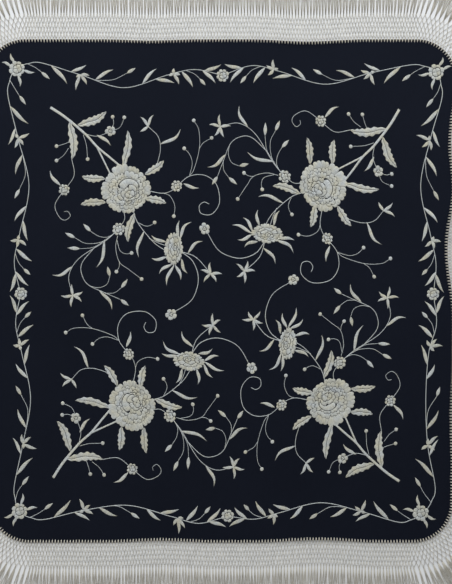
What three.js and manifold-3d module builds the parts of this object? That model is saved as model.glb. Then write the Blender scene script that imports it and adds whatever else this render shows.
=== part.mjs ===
// A large square embroidered shawl, laid out flat: one square of silk with rounded corners and
// a rolled hem, raised silk embroidery in four turned sprays inside a vine border, and a knotted
// fringe on all four sides. Millimetres, +Z up, origin on the surface under the middle.
import * as THREE from "three";
import { mergeVertices } from "three/addons/utils/BufferGeometryUtils.js";
import Module from "manifold-3d";

const wasm = await Module();
wasm.setup();

// The square of silk. It was laid a little wider at the top than at the bottom.
const CLOTH = {
  topWidth: 1412,
  bottomWidth: 1388,
  height: 1506,
  cornerRadius: 120,
  thickness: 1.5,
  hemThickness: 3,
  hemWidth: 6,
  hemBevel: 1,
  rippleReach: 14,
};
const SEAM_GAP = 0.3;

// Where the edge stands up in a soft ripple, it is drawn in by a few millimetres.
// along: place on the side from its middle, anticlockwise round the shawl.
const RIPPLES = [
  { side: "right", along: 125, halfLength: 220, rise: 2, drawnIn: 24 },
  { side: "right", along: 446, halfLength: 190, rise: 1.8, drawnIn: 16 },
  { side: "right", along: -380, halfLength: 150, rise: 1.4, drawnIn: 5 },
  { side: "top", along: -260, halfLength: 180, rise: 1.6, drawnIn: 7 },
  { side: "top", along: 210, halfLength: 140, rise: 1.2, drawnIn: 4 },
  { side: "left", along: -90, halfLength: 200, rise: 1.8, drawnIn: 9 },
  { side: "left", along: 330, halfLength: 150, rise: 1.5, drawnIn: 6 },
  { side: "bottom", along: -180, halfLength: 160, rise: 1.5, drawnIn: 6 },
  { side: "bottom", along: 290, halfLength: 190, rise: 1.8, drawnIn: 8 },
];

const FRINGE = {
  netDepth: 72,
  netThickness: 3,
  floorGap: 0.4,
  strandsPerSideStep: 3,
  strandsPerArcStep: 2,
  rootOverlap: 6,
  strandLength: 300,
  strandWidth: 6,
  strandTipWidth: 4,
  strandHeight: 2.2,
  strandBase: 0.6,
  sway: 6,
  shortfall: 12,
  calmEnd: 140,
};

const RELIEF = {
  stem: 0.9,
  leaf: 1.2,
  plate: 0.9,
  tier: 0.6,
};
const SILK_UNDERSIDE = CLOTH.thickness + SEAM_GAP;

const COLOURS = { cloth: 0x14151d, silk: 0xb9b9ae, fringe: 0xc9c5b6 };
const silkCloth = new THREE.MeshStandardMaterial({ color: COLOURS.cloth, roughness: 0.75, metalness: 0 });
const silkThread = new THREE.MeshStandardMaterial({ color: COLOURS.silk, roughness: 0.5, metalness: 0 });
const fringeSilk = new THREE.MeshStandardMaterial({ color: COLOURS.fringe, roughness: 0.6, metalness: 0 });

const group = new THREE.Group();

function addNode(name, geometry, material) {
  const mesh = new THREE.Mesh(geometry, material);
  mesh.name = name;
  group.add(mesh);
}

// Solids are made from plain lists of points and triangles.
class Shell {
  constructor() {
    this.points = [];
    this.faces = [];
  }
  point(x, y, z) {
    this.points.push(x, y, z);
    return this.points.length / 3 - 1;
  }
  triangle(a, b, c) {
    this.faces.push(a, b, c);
  }
  quad(a, b, c, d) {
    this.faces.push(a, b, c, a, c, d);
  }
  geometry() {
    return new THREE.BufferGeometry()
      .setAttribute("position", new THREE.Float32BufferAttribute(this.points, 3))
      .setIndex(this.faces);
  }
  solid() {
    return solidOf(this.geometry());
  }
}

function solidOf(geometry) {
  const bare = geometry.clone();
  bare.deleteAttribute("normal");
  bare.deleteAttribute("uv");
  const merged = mergeVertices(bare, 1e-4);
  return new wasm.Manifold(
    new wasm.Mesh({
      numProp: 3,
      vertProperties: new Float32Array(merged.attributes.position.array),
      triVerts: new Uint32Array(merged.index.array),
    }),
  );
}

function geometryOf(solid) {
  const mesh = solid.getMesh();
  return new THREE.BufferGeometry()
    .setAttribute("position", new THREE.BufferAttribute(mesh.vertProperties, 3))
    .setIndex(new THREE.BufferAttribute(mesh.triVerts, 1));
}

function joined(solids) {
  return solids.reduce((whole, next) => whole.add(next));
}

// The outline of the cloth

const ARC_STEPS = 6;
const SIDE_STEPS = { right: 17, top: 16, left: 17, bottom: 16 };
const SIDES = ["right", "top", "left", "bottom"];

function cornerCentre(quadrant) {
  const width = quadrant < 2 ? CLOTH.topWidth : CLOTH.bottomWidth;
  const signX = quadrant === 0 || quadrant === 3 ? 1 : -1;
  const signY = quadrant < 2 ? 1 : -1;
  return new THREE.Vector2(
    signX * (width / 2 - CLOTH.cornerRadius),
    signY * (CLOTH.height / 2 - CLOTH.cornerRadius),
  );
}

function ripple(side, along, key) {
  const here = RIPPLES.filter((r) => r.side === side && Math.abs(along - r.along) < r.halfLength);
  const share = (r) => Math.cos((Math.PI * (along - r.along)) / (2 * r.halfLength)) ** 2;
  return here.reduce((sum, r) => sum + r[key] * share(r), 0);
}

// One side runs anticlockwise from the middle of one rounded corner to the middle of the next.
// A station holds its point, its outward direction, how high the edge lifts there, and how calm
// the fringe lies, from 1 at the corners, where it fans out evenly, to 0.
function sideStations(sideIndex) {
  const side = SIDES[sideIndex];
  const facing = (sideIndex * Math.PI) / 2;
  const first = cornerCentre((sideIndex + 3) % 4);
  const last = cornerCentre(sideIndex);
  const stations = [];
  const arcStation = (centre, angle) => {
    const outward = new THREE.Vector2(Math.cos(angle), Math.sin(angle));
    const at = centre.clone().addScaledVector(outward, CLOTH.cornerRadius);
    stations.push({ at, outward, lift: 0, calm: 1 });
  };
  const half = ARC_STEPS / 2;
  for (let i = 0; i < half; i++) arcStation(first, facing - Math.PI / 4 + (i * Math.PI) / 4 / half);
  const outward = new THREE.Vector2(Math.cos(facing), Math.sin(facing));
  const from = first.clone().addScaledVector(outward, CLOTH.cornerRadius);
  const to = last.clone().addScaledVector(outward, CLOTH.cornerRadius);
  const length = from.distanceTo(to);
  for (let i = 0; i <= SIDE_STEPS[side]; i++) {
    const along = (i / SIDE_STEPS[side] - 0.5) * length;
    const at = from.clone().lerp(to, i / SIDE_STEPS[side]);
    at.addScaledVector(outward, -ripple(side, along, "drawnIn"));
    const calm = Math.min(1, (length / 2 - Math.abs(along)) / FRINGE.calmEnd);
    stations.push({ at, outward: outward.clone(), lift: ripple(side, along, "rise"), calm: 1 - calm });
  }
  for (let i = 1; i <= half; i++) arcStation(last, facing + (i * Math.PI) / 4 / half);
  return stations;
}

const sides = SIDES.map((_, i) => sideStations(i));
const outline = sides.flatMap((stations) => stations.slice(0, -1));

// The cloth with its rolled hem, as rings that follow the outline inwards

function clothBody() {
  const shell = new Shell();
  const ring = (inset, height) =>
    outline.map((s) => {
      const p = s.at.clone().addScaledVector(s.outward, -inset);
      return shell.point(p.x, p.y, height(s));
    });
  const faded = (inset) => 1 - Math.min(1, inset / CLOTH.rippleReach);
  const hemTop = CLOTH.hemThickness;
  const rings = [
    ring(CLOTH.rippleReach, () => 0),
    ring(0, (s) => s.lift),
    ring(0, (s) => s.lift + hemTop - CLOTH.hemBevel),
    ring(CLOTH.hemBevel, (s) => s.lift * faded(CLOTH.hemBevel) + hemTop),
    ring(CLOTH.hemWidth - CLOTH.hemBevel, (s) => s.lift * faded(CLOTH.hemWidth) + hemTop),
    ring(CLOTH.hemWidth, (s) => s.lift * faded(CLOTH.hemWidth) + CLOTH.thickness),
    ring(CLOTH.rippleReach, () => CLOTH.thickness),
  ];
  const count = outline.length;
  for (let r = 0; r + 1 < rings.length; r++) {
    for (let i = 0; i < count; i++) {
      const j = (i + 1) % count;
      shell.quad(rings[r][i], rings[r][j], rings[r + 1][j], rings[r + 1][i]);
    }
  }
  const under = shell.point(0, 0, 0);
  const over = shell.point(0, 0, CLOTH.thickness);
  const [lowest, highest] = [rings[0], rings[rings.length - 1]];
  for (let i = 0; i < count; i++) {
    const j = (i + 1) % count;
    shell.triangle(under, lowest[j], lowest[i]);
    shell.triangle(over, highest[i], highest[j]);
  }
  return shell.geometry();
}

// The fringe: a knotted net band along one side, with loose strands from its edge

function netBand(stations) {
  const shell = new Shell();
  const rows = stations.map((s, i) => {
    const tangent = new THREE.Vector2(-s.outward.y, s.outward.x);
    const trim = i === 0 ? SEAM_GAP / 2 : i === stations.length - 1 ? -SEAM_GAP / 2 : 0;
    const corner = (out, z) => {
      const p = s.at.clone().addScaledVector(s.outward, out).addScaledVector(tangent, trim);
      return shell.point(p.x, p.y, z);
    };
    const low = FRINGE.floorGap;
    const high = FRINGE.floorGap + FRINGE.netThickness;
    return [
      corner(SEAM_GAP, s.lift + low),
      corner(FRINGE.netDepth, low),
      corner(FRINGE.netDepth, high),
      corner(SEAM_GAP, s.lift + high),
    ];
  });
  for (let i = 0; i + 1 < rows.length; i++)
    for (let k = 0; k < 4; k++) {
      const m = (k + 1) % 4;
      shell.quad(rows[i][k], rows[i + 1][k], rows[i + 1][m], rows[i][m]);
    }
  const end = rows[rows.length - 1];
  shell.quad(rows[0][0], rows[0][1], rows[0][2], rows[0][3]);
  shell.quad(end[3], end[2], end[1], end[0]);
  return shell.solid();
}

// A three-sided strand that lies on its flat side, through the points that it follows.
function ridge(points, widths, height, base) {
  const shell = new Shell();
  const last = points.length - 1;
  const rows = points.map((p, i) => {
    const before = points[Math.max(0, i - 1)];
    const after = points[Math.min(last, i + 1)];
    const across = after.clone().sub(before).normalize();
    across.set(-across.y, across.x);
    const half = widths[i] / 2;
    return [
      shell.point(p.x - across.x * half, p.y - across.y * half, base),
      shell.point(p.x, p.y, base + height),
      shell.point(p.x + across.x * half, p.y + across.y * half, base),
    ];
  });
  for (let i = 0; i < last; i++)
    for (let k = 0; k < 3; k++) {
      const m = (k + 1) % 3;
      shell.quad(rows[i][k], rows[i + 1][k], rows[i + 1][m], rows[i][m]);
    }
  shell.triangle(rows[0][0], rows[0][1], rows[0][2]);
  shell.triangle(rows[last][0], rows[last][2], rows[last][1]);
  return shell.solid();
}

// A repeatable value from 0 to 1, so that strands differ a little.
function uneven(index, salt) {
  const value = Math.sin(index * 12.9898 + salt * 78.233) * 43758.5453;
  return value - Math.floor(value);
}

function fringe(stations, salt) {
  const strands = [];
  const half = ARC_STEPS / 2;
  for (let i = 0; i + 1 < stations.length; i++) {
    const onArc = i < half || i + 1 >= stations.length - half;
    const perStep = onArc ? FRINGE.strandsPerArcStep : FRINGE.strandsPerSideStep;
    for (let k = 0; k < perStep; k++) {
      const [a, b] = [stations[i], stations[i + 1]];
      const share = (k + 0.5) / perStep;
      const n = strands.length;
      const outward = a.outward.clone().lerp(b.outward, share).normalize();
      const across = new THREE.Vector2(-outward.y, outward.x);
      const restless = 1 - Math.max(a.calm, b.calm);
      const length = FRINGE.strandLength - FRINGE.shortfall * uneven(n, salt) * restless;
      const sway = FRINGE.sway * (uneven(n, salt + 1) - 0.5) * restless;
      const root = a.at.clone().lerp(b.at, share);
      root.addScaledVector(outward, FRINGE.netDepth - FRINGE.rootOverlap);
      const tip = root.clone().addScaledVector(outward, length).addScaledVector(across, sway);
      const widths = [FRINGE.strandWidth, FRINGE.strandTipWidth];
      strands.push(ridge([root, tip], widths, FRINGE.strandHeight, FRINGE.strandBase));
    }
  }
  return geometryOf(joined([netBand(stations), ...strands]));
}

addNode("cloth", clothBody(), silkCloth);
SIDES.forEach((side, i) => addNode(`fringe_${side}`, fringe(sides[i], i + 1), fringeSilk));

// Raised embroidery. Every motif is a low solid on the cloth, made where it lies.

const v = (x, y) => new THREE.Vector2(x, y);

// A satin-stitch leaf or petal: a pointed outline with a ridge along its middle. Its sections
// give how far along it each pair of side points lies, and their distance from its middle.
const LEAF_SECTIONS = {
  broad: [{ share: 0.3, half: 0.42 }, { share: 0.62, half: 0.5 }],
  slim: [{ share: 0.5, half: 0.5 }],
};
const BROAD_LEAF_WIDTH = 18;
function leaf(base, tip, width) {
  const axis = tip.clone().sub(base);
  const across = new THREE.Vector2(-axis.y, axis.x).normalize();
  const sections = width > BROAD_LEAF_WIDTH ? LEAF_SECTIONS.broad : LEAF_SECTIONS.slim;
  const shell = new Shell();
  const put = (share, side, z) => {
    const p = base.clone().addScaledVector(axis, share).addScaledVector(across, side * width);
    return shell.point(p.x, p.y, SILK_UNDERSIDE + z);
  };
  const start = put(0, 0, 0);
  const end = put(1, 0, 0);
  const right = sections.map((s) => put(s.share, -s.half, 0));
  const left = sections.map((s) => put(s.share, s.half, 0));
  const ridgeLine = sections.map((s) => put(s.share, 0, RELIEF.leaf));
  const last = sections.length - 1;
  shell.triangle(start, left[0], right[0]);
  shell.triangle(start, right[0], ridgeLine[0]);
  shell.triangle(start, ridgeLine[0], left[0]);
  for (let i = 0; i < last; i++) {
    shell.quad(right[i], left[i], left[i + 1], right[i + 1]);
    shell.quad(right[i], right[i + 1], ridgeLine[i + 1], ridgeLine[i]);
    shell.quad(ridgeLine[i], ridgeLine[i + 1], left[i + 1], left[i]);
  }
  shell.triangle(end, right[last], left[last]);
  shell.triangle(end, ridgeLine[last], right[last]);
  shell.triangle(end, left[last], ridgeLine[last]);
  return shell.solid();
}

function stem(points, width, steps) {
  const curve = new THREE.SplineCurve(points);
  const path = curve.getPoints(steps);
  return ridge(path, path.map(() => width), RELIEF.stem, SILK_UNDERSIDE);
}

// A plate with round lobes, such as one tier of a rose or a small flower seen from above.
function lobedPlate(centre, radiusX, radiusY, lobes, depth, height, turn = 0, pointsPerLobe = 3) {
  const count = lobes * pointsPerLobe;
  const shape = new THREE.Shape();
  for (let i = 0; i < count; i++) {
    const angle = (i / count) * Math.PI * 2;
    const reach = 1 - (i % pointsPerLobe === 0 ? depth : 0);
    const p = v(Math.cos(angle) * radiusX * reach, Math.sin(angle) * radiusY * reach);
    p.rotateAround(v(0, 0), turn).add(centre);
    if (i === 0) shape.moveTo(p.x, p.y);
    else shape.lineTo(p.x, p.y);
  }
  shape.closePath();
  const plate = new THREE.ExtrudeGeometry(shape, { depth: height, bevelEnabled: false });
  plate.translate(0, 0, SILK_UNDERSIDE);
  return solidOf(plate);
}

const FLORET_LOBES = 5;
const FLORET_DEPTH = 0.2;
const FLORET_POINTS_PER_LOBE = 2;
const floret = (centre, radius) =>
  lobedPlate(centre, radius, radius, FLORET_LOBES, FLORET_DEPTH, RELIEF.plate, 0, FLORET_POINTS_PER_LOBE);

const STAR_PETALS = 5;
const STAR_OVERLAP = 0.15;
const STAR_PETAL_WIDTH = 0.36;
function star(centre, radius, turn) {
  return Array.from({ length: STAR_PETALS }, (_, i) => {
    const angle = turn + (Math.PI * 2 * i) / STAR_PETALS;
    const along = v(Math.cos(angle), Math.sin(angle));
    const inner = centre.clone().addScaledVector(along, -radius * STAR_OVERLAP);
    return leaf(inner, centre.clone().addScaledVector(along, radius), radius * STAR_PETAL_WIDTH);
  });
}

// A tiered rose: each tier is smaller and stands higher.
const ROSE_TIERS = [
  { radius: 75, lobes: 13, rise: 0, pointsPerLobe: 3 },
  { radius: 53, lobes: 9, rise: 1, pointsPerLobe: 2 },
  { radius: 30, lobes: 6, rise: 2, pointsPerLobe: 2 },
];
const ROSE_LOBE_DEPTH = 0.07;
const rose = (centre) =>
  ROSE_TIERS.map((t) => {
    const height = RELIEF.plate + RELIEF.tier * t.rise;
    return lobedPlate(centre, t.radius, t.radius, t.lobes, ROSE_LOBE_DEPTH, height, t.rise, t.pointsPerLobe);
  });

// One spray, measured from the middle of its rose, as it lies in the top left quarter. Each
// leaf and stem is of a kind that sets its width.
const LEAF_WIDTHS = { rose: 21, wood: 25, twig: 12, curl: 11, floret: 12, branch: 12, peony: 12 };
const STEM_WIDTHS = { wood: 8, fork: 6, twig: 3, curl: 3, branch: 3 };
const SPRAY_LEAVES = [
  { of: "rose", base: [-9, 58], tip: [2, 177] },
  { of: "rose", base: [50, 40], tip: [110, 84] },
  { of: "rose", base: [52, -24], tip: [116, -40] },
  { of: "rose", base: [-52, 32], tip: [-135, 42] },
  { of: "rose", base: [-52, -29], tip: [-139, -43] },
  { of: "rose", base: [20, -56], tip: [3, -154] },
  { of: "wood", base: [-151, 189], tip: [-60, 234] },
  { of: "wood", base: [-172, 209], tip: [-165, 90] },
  { of: "twig", base: [-87, 165], tip: [-48, 132] },
  { of: "curl", base: [-196, 12], tip: [-229, 59] },
  { of: "twig", base: [102, 134], tip: [162, 177] },
  { of: "floret", base: [158, 11], tip: [216, 2] },
  { of: "branch", base: [-66, -147], tip: [-90, -231] },
  { of: "branch", base: [-165, -228], tip: [-223, -250] },
  { of: "branch", base: [-84, -299], tip: [-47, -357] },
  { of: "branch", base: [53, -124], tip: [39, -201] },
  { of: "peony", base: [154, -156], tip: [159, -96] },
  { of: "peony", base: [156, -158], tip: [194, -103] },
  { of: "peony", base: [184, -193], tip: [228, -159] },
  { of: "peony", base: [160, -205], tip: [182, -251] },
  { of: "peony", base: [140, -222], tip: [159, -276] },
  { of: "peony", base: [138, -222], tip: [119, -288] },
  { of: "peony", base: [136, -220], tip: [97, -253] },
  { of: "peony", base: [126, -204], tip: [76, -207] },
  { of: "peony", base: [126, -163], tip: [76, -141] },
];
const SPRAY_STEMS = [
  { of: "wood", steps: 4, through: [[-229, 249], [-183, 218], [-123, 167], [-82, 123], [-31, 65]] },
  { of: "fork", steps: 2, through: [[-84, 124], [-69, 96], [-46, 50]] },
  { of: "twig", steps: 3, through: [[-121, 167], [-87, 161], [-50, 174]] },
  { of: "curl", steps: 3, through: [[-165, 94], [-158, 46], [-182, 8]] },
  { of: "curl", steps: 8, through: [[-192, -2], [-216, -42], [-189, -87], [-170, -72], [-187, -61]] },
  { of: "twig", steps: 4, through: [[88, 66], [103, 119], [96, 162], [65, 197]] },
  { of: "twig", steps: 3, through: [[60, -2], [110, -10], [152, 9], [192, 39]] },
  { of: "curl", steps: 9, through: [[190, 38], [261, 26], [279, -42], [240, -79], [220, -58], [248, -47]] },
  { of: "branch", steps: 3, through: [[-10, -60], [-7, -90], [-24, -117]] },
  { of: "branch", steps: 5, through: [[-24, -117], [-66, -153], [-145, -204], [-177, -256], [-163, -313]] },
  { of: "curl", steps: 6, through: [[-115, -180], [-136, -230], [-117, -281], [-60, -309], [-20, -327]] },
  { of: "branch", steps: 4, through: [[18, -60], [32, -100], [82, -166], [130, -196]] },
  { of: "branch", steps: 3, through: [[160, -186], [210, -205], [254, -254]] },
  { of: "curl", steps: 6, through: [[160, -186], [206, -217], [213, -294], [189, -339], [136, -371]] },
];
const SPRAY_FLOWERS = [
  { kind: "floret", at: [-48, 176], radius: 17 },
  { kind: "floret", at: [-188, 2], radius: 18 },
  { kind: "floret", at: [152, 9], radius: 17 },
  { kind: "floret", at: [-24, -117], radius: 20 },
  { kind: "floret", at: [132, -372], radius: 17 },
  { kind: "star", at: [65, 197], radius: 32, turn: 0.9 },
  { kind: "star", at: [-163, -313], radius: 33, turn: 1.4 },
  { kind: "star", at: [254, -254], radius: 33, turn: 1.1 },
];
const PEONY = {
  at: [143, -179],
  radiusX: 27,
  radiusY: 47,
  lobes: 9,
  lobeDepth: 0.12,
  height: RELIEF.plate + RELIEF.tier,
};

// Every quarter repeats the first one in quarter turns. It was drawn on by hand, so each copy leans and
// stretches a little: across and up say where a millimetre to the right and upwards lands.
const SPRAYS = [
  { name: "top_left", centre: [-283, 302], turns: 0, across: [1, 0], up: [0, 1] },
  { name: "top_right", centre: [305, 317], turns: -1, across: [0.956, -0.048], up: [-0.037, 1.043] },
  { name: "bottom_right", centre: [323, -328], turns: -2, across: [0.959, 0.013], up: [0.048, 0.976] },
  { name: "bottom_left", centre: [-264, -341], turns: -3, across: [0.956, -0.066], up: [-0.008, 1.021] },
];

// Places a point of the spray in the quarter where the copy lies.
function placer(copy) {
  const turn = (copy.turns * Math.PI) / 2;
  return ([x, y]) => {
    const p = v(x, y).rotateAround(v(0, 0), turn);
    return v(
      copy.centre[0] + p.x * copy.across[0] + p.y * copy.up[0],
      copy.centre[1] + p.x * copy.across[1] + p.y * copy.up[1],
    );
  };
}

function spray(copy) {
  const place = placer(copy);
  const turn = (copy.turns * Math.PI) / 2;
  const solids = rose(place([0, 0]));
  for (const row of SPRAY_STEMS) solids.push(stem(row.through.map(place), STEM_WIDTHS[row.of], row.steps));
  for (const row of SPRAY_LEAVES) solids.push(leaf(place(row.base), place(row.tip), LEAF_WIDTHS[row.of]));
  for (const row of SPRAY_FLOWERS) {
    const at = place(row.at);
    if (row.kind === "floret") solids.push(floret(at, row.radius));
    else solids.push(...star(at, row.radius, row.turn + turn));
  }
  const { radiusX, radiusY, lobes, lobeDepth, height } = PEONY;
  solids.push(lobedPlate(place(PEONY.at), radiusX, radiusY, lobes, lobeDepth, height, turn));
  return geometryOf(joined(solids));
}

SPRAYS.forEach((copy) => addNode(`spray_${copy.name}`, spray(copy), silkThread));

// The vine border: each side runs from a corner flower to the next, mirrored about its middle.
const CORNER_FLOWERS = {
  topLeft: [-611, 665],
  topRight: [644, 655],
  bottomRight: [598, -664],
  bottomLeft: [-603, -659],
};
const MIDDLE_FLOWERS = { top: [5, 645], right: [635, -9], bottom: [16, -673], left: [-599, -8] };
// On each half of a side the vine swings out by its bulge near the corner, then in by its sag.
const BORDER_SIDES = [
  { name: "top", from: "topLeft", to: "topRight", bulges: [28, 26], sags: [45, 31] },
  { name: "right", from: "topRight", to: "bottomRight", bulges: [17, 43], sags: [40, 5] },
  { name: "bottom", from: "bottomRight", to: "bottomLeft", bulges: [30, 27], sags: [34, 24] },
  { name: "left", from: "bottomLeft", to: "topLeft", bulges: [19, 27], sags: [30, 30] },
];
const VINE_WIDTH = 3.4;
const CORNER_FLOWER = { radius: 25, lobes: 9, lobeDepth: 0.12, height: RELIEF.plate + RELIEF.tier };
const MIDDLE_FLOWER = { radius: 20, lobes: 7, lobeDepth: 0.2, height: RELIEF.plate };
const TULIP_PETAL_WIDTH = 11;
const CORNER_LEAF_WIDTH = 9;
const CORNER_LEAF_START = 19;
// share: way from the corner flower to the middle flower. out: millimetres outwards, with the
// shares of the bulge and of the sag that are added to it there.
const VINE_WAVE = [
  { share: 0.055, out: 0, bulge: 0.8, sag: 0 },
  { share: 0.12, out: 0, bulge: 1, sag: 0 },
  { share: 0.31, out: 0, bulge: 0, sag: 0 },
  { share: 0.52, out: 0, bulge: 0, sag: 1 },
  { share: 0.73, out: 0, bulge: 0, sag: 0.1 },
  { share: 0.86, out: 15, bulge: 0, sag: 0 },
  { share: 0.99, out: 2, bulge: 0, sag: 0 },
];
const VINE_STEPS = 11;
const VINE_LEAVES = [
  { share: 0.163, tipShare: 0.248, tipOut: -26, width: 11 },
  { share: 0.255, tipShare: 0.333, tipOut: 32, width: 9 },
  { share: 0.38, tipShare: 0.465, tipOut: 18, width: 10 },
  { share: 0.605, tipShare: 0.67, tipOut: 16, width: 10 },
  { share: 0.8, tipShare: 0.85, tipOut: -36, width: 11 },
  { share: 0.9, tipShare: 0.955, tipOut: -24, width: 10 },
  { share: 0.91, tipShare: 0.985, tipOut: 33, width: 10 },
];
const TULIPS = [
  { share: 0.307, out: -3, petals: [[0.044, 5], [-0.02, -26], [0.03, 18]] },
  { share: 0.757, out: 2, petals: [[-0.045, 8], [-0.01, 24], [0.035, -16]] },
];
// The four curled leaves of a corner flower: how far out each reaches, and at what angle to
// the corner's outward diagonal.
const CORNER_LEAVES = [
  { angle: -23, reach: 49 },
  { angle: 23, reach: 49 },
  { angle: 145, reach: 51 },
  { angle: 215, reach: 52 },
];

function borderHalf(corner, middle, outward, bulge, sag, growsFromCorner) {
  const axis = middle.clone().sub(corner);
  const place = (share, out) => corner.clone().addScaledVector(axis, share).addScaledVector(outward, out);
  const through = VINE_WAVE.map((w) => place(w.share, w.out + w.bulge * bulge - w.sag * sag));
  if (growsFromCorner) through.unshift(corner);
  const wave = new THREE.SplineCurve(through);
  const shareOf = (p) => p.clone().sub(corner).dot(axis) / axis.lengthSq();
  const path = wave.getPoints(VINE_STEPS);
  const onVine = (share) => {
    const i = Math.max(1, path.findIndex((p) => shareOf(p) >= share));
    const [a, b] = [path[i - 1], path[i]];
    return a.clone().lerp(b, (share - shareOf(a)) / (shareOf(b) - shareOf(a)));
  };
  const solids = [ridge(path, path.map(() => VINE_WIDTH), RELIEF.stem, SILK_UNDERSIDE)];
  for (const row of VINE_LEAVES)
    solids.push(leaf(onVine(row.share), place(row.tipShare, row.tipOut), row.width));
  for (const tulip of TULIPS)
    for (const [ahead, out] of tulip.petals)
      solids.push(leaf(onVine(tulip.share), place(tulip.share + ahead, tulip.out + out), TULIP_PETAL_WIDTH));
  return solids;
}

function flower(centre, kind) {
  return lobedPlate(centre, kind.radius, kind.radius, kind.lobes, kind.lobeDepth, kind.height);
}

function borderSide(side) {
  const from = v(...CORNER_FLOWERS[side.from]);
  const to = v(...CORNER_FLOWERS[side.to]);
  const middle = v(...MIDDLE_FLOWERS[side.name]);
  const run = to.clone().sub(from).normalize();
  const outward = v(-run.y, run.x);
  const diagonal = outward.clone().sub(run).normalize();
  const solids = [
    ...borderHalf(from, middle, outward, side.bulges[0], side.sags[0], true),
    ...borderHalf(to, middle, outward, side.bulges[1], side.sags[1], false),
  ];
  solids.push(flower(middle, MIDDLE_FLOWER), flower(from, CORNER_FLOWER));
  for (const row of CORNER_LEAVES) {
    const along = diagonal.clone().rotateAround(v(0, 0), THREE.MathUtils.degToRad(row.angle));
    const base = from.clone().addScaledVector(along, CORNER_LEAF_START);
    solids.push(leaf(base, from.clone().addScaledVector(along, row.reach), CORNER_LEAF_WIDTH));
  }
  return geometryOf(joined(solids));
}

BORDER_SIDES.forEach((side) => addNode(`border_${side.name}`, borderSide(side), silkThread));

export default group;
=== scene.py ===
"""A large dark silk shawl laid out flat: crepe, ivory embroidery and a knotted fringe. Metres."""

import math

import bpy
import numpy as np
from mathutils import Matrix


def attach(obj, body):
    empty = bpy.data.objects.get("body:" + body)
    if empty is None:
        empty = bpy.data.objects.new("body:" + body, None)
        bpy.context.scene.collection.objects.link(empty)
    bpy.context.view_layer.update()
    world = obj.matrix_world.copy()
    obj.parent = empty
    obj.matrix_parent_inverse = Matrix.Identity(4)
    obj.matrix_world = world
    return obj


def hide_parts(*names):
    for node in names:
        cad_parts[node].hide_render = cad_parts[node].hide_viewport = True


bl_info = {
    "name": "Embroidered shawl",
    "version": (1, 0, 0),
    "blender": (4, 5, 0),
    "location": "3D View > Sidebar > Shawl",
    "description": "Makes a square silk shawl with satin-stitch sprays and a knotted fringe",
    "category": "Object",
}

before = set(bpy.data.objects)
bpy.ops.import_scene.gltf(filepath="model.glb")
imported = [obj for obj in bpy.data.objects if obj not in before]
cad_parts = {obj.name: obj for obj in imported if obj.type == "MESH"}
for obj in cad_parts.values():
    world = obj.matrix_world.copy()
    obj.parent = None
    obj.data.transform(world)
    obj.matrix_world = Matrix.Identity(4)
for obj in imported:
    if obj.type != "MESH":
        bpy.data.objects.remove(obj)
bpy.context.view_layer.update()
MM = 0.001
NOISE_SCALES = (12.9898, 78.233, 37.719, 9.151)
NOISE_STRETCH = 43758.5453

# The cloth and its outline.
TOP_WIDTH = 1412 * MM
BOTTOM_WIDTH = 1388 * MM
HEIGHT = 1506 * MM
CORNER_RADIUS = 120 * MM
CLOTH_THICKNESS = 1.5 * MM
SIDES = ("right", "top", "left", "bottom")
# Ripples draw the edge in and lift it a little. Each has a side, the place of its middle on that side,
# anticlockwise from the side's middle, then half its length, its rise and its depth, in millimetres.
RIPPLES = [
    ("right", 125, 220, 2.0, 24),
    ("right", 446, 190, 1.8, 16),
    ("right", -380, 150, 1.4, 5),
    ("top", -260, 180, 1.6, 7),
    ("top", 210, 140, 1.2, 4),
    ("left", -90, 200, 1.8, 9),
    ("left", 330, 150, 1.5, 6),
    ("bottom", -180, 160, 1.5, 6),
    ("bottom", 290, 190, 1.8, 8),
]
RIPPLE_REACH = 14 * MM
# Only places nearer to the sides, or to the top and bottom, than this can lie on a ripple.
SIDE_BAND = 50 * MM
END_BAND = 40 * MM
# The soft hills of the spread silk: their height for a wave of one, in millimetres.
HILL_HEIGHT = 0.14
# The grid of the sheet stays straight up to this share of the way to the edge.
STRAIGHT_SHARE = 0.72

# The relief of a stitch patch across its width, and its share of that at the first and last stitch.
# Its two long edges are rounded over so many millimetres.
CROWN = np.array((0.0, 0.66, 0.9, 1.0, 0.9, 0.66, 0.0))
END_CROWN = 0.45
EDGE_ROUNDING = 0.3
# The relief of a padded dot: shares of its radius and of its height.
DOME_RINGS = ((1.0, -0.1), (0.94, 0.5), (0.72, 0.84), (0.38, 0.98))
# Threads of each patch start this many millimetres further into the pattern of the floss.
PATCH_SPACING = 40
# Half of a stem's worked width, as a share of its listed width. A stem listed as THICK_STEM
# millimetres or wider is thick, and has the darker tone.
STEM_FULLNESS = 0.54
THICK_STEM = 3
THIN_STEM_TONE = 1.9
THICK_STEM_TONE = 0.9
# Rows of stitches in a plain leaf, for each notch of a notched one, and for each lobe of a petal.
PLAIN_LEAF_ROWS = 11
NOTCH_ROWS = 6
LOBE_ROWS = 6
# A petal of one lobe has more rows on flowers of a larger radius than this, in millimetres.
SINGLE_LOBE_ROWS = 9
LARGE_FLOWER = 30
# The power of the sine that rounds a lobe. Wide lobes have a smaller one: WIDE_LOBE over their degrees.
LOBE_ROUNDNESS = 0.56
WIDE_LOBE = 34

# One spray, in millimetres from the middle of its rose, as it lies in the top left quarter.
# Each kind of leaf has a width and a number of notches on each side.
LEAF_KINDS = {"rose": (21, 5), "wood": (24, 6), "slim": (9.4, 0), "spiky": (9.2, 0), "bud": (10.4, 0)}
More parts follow.
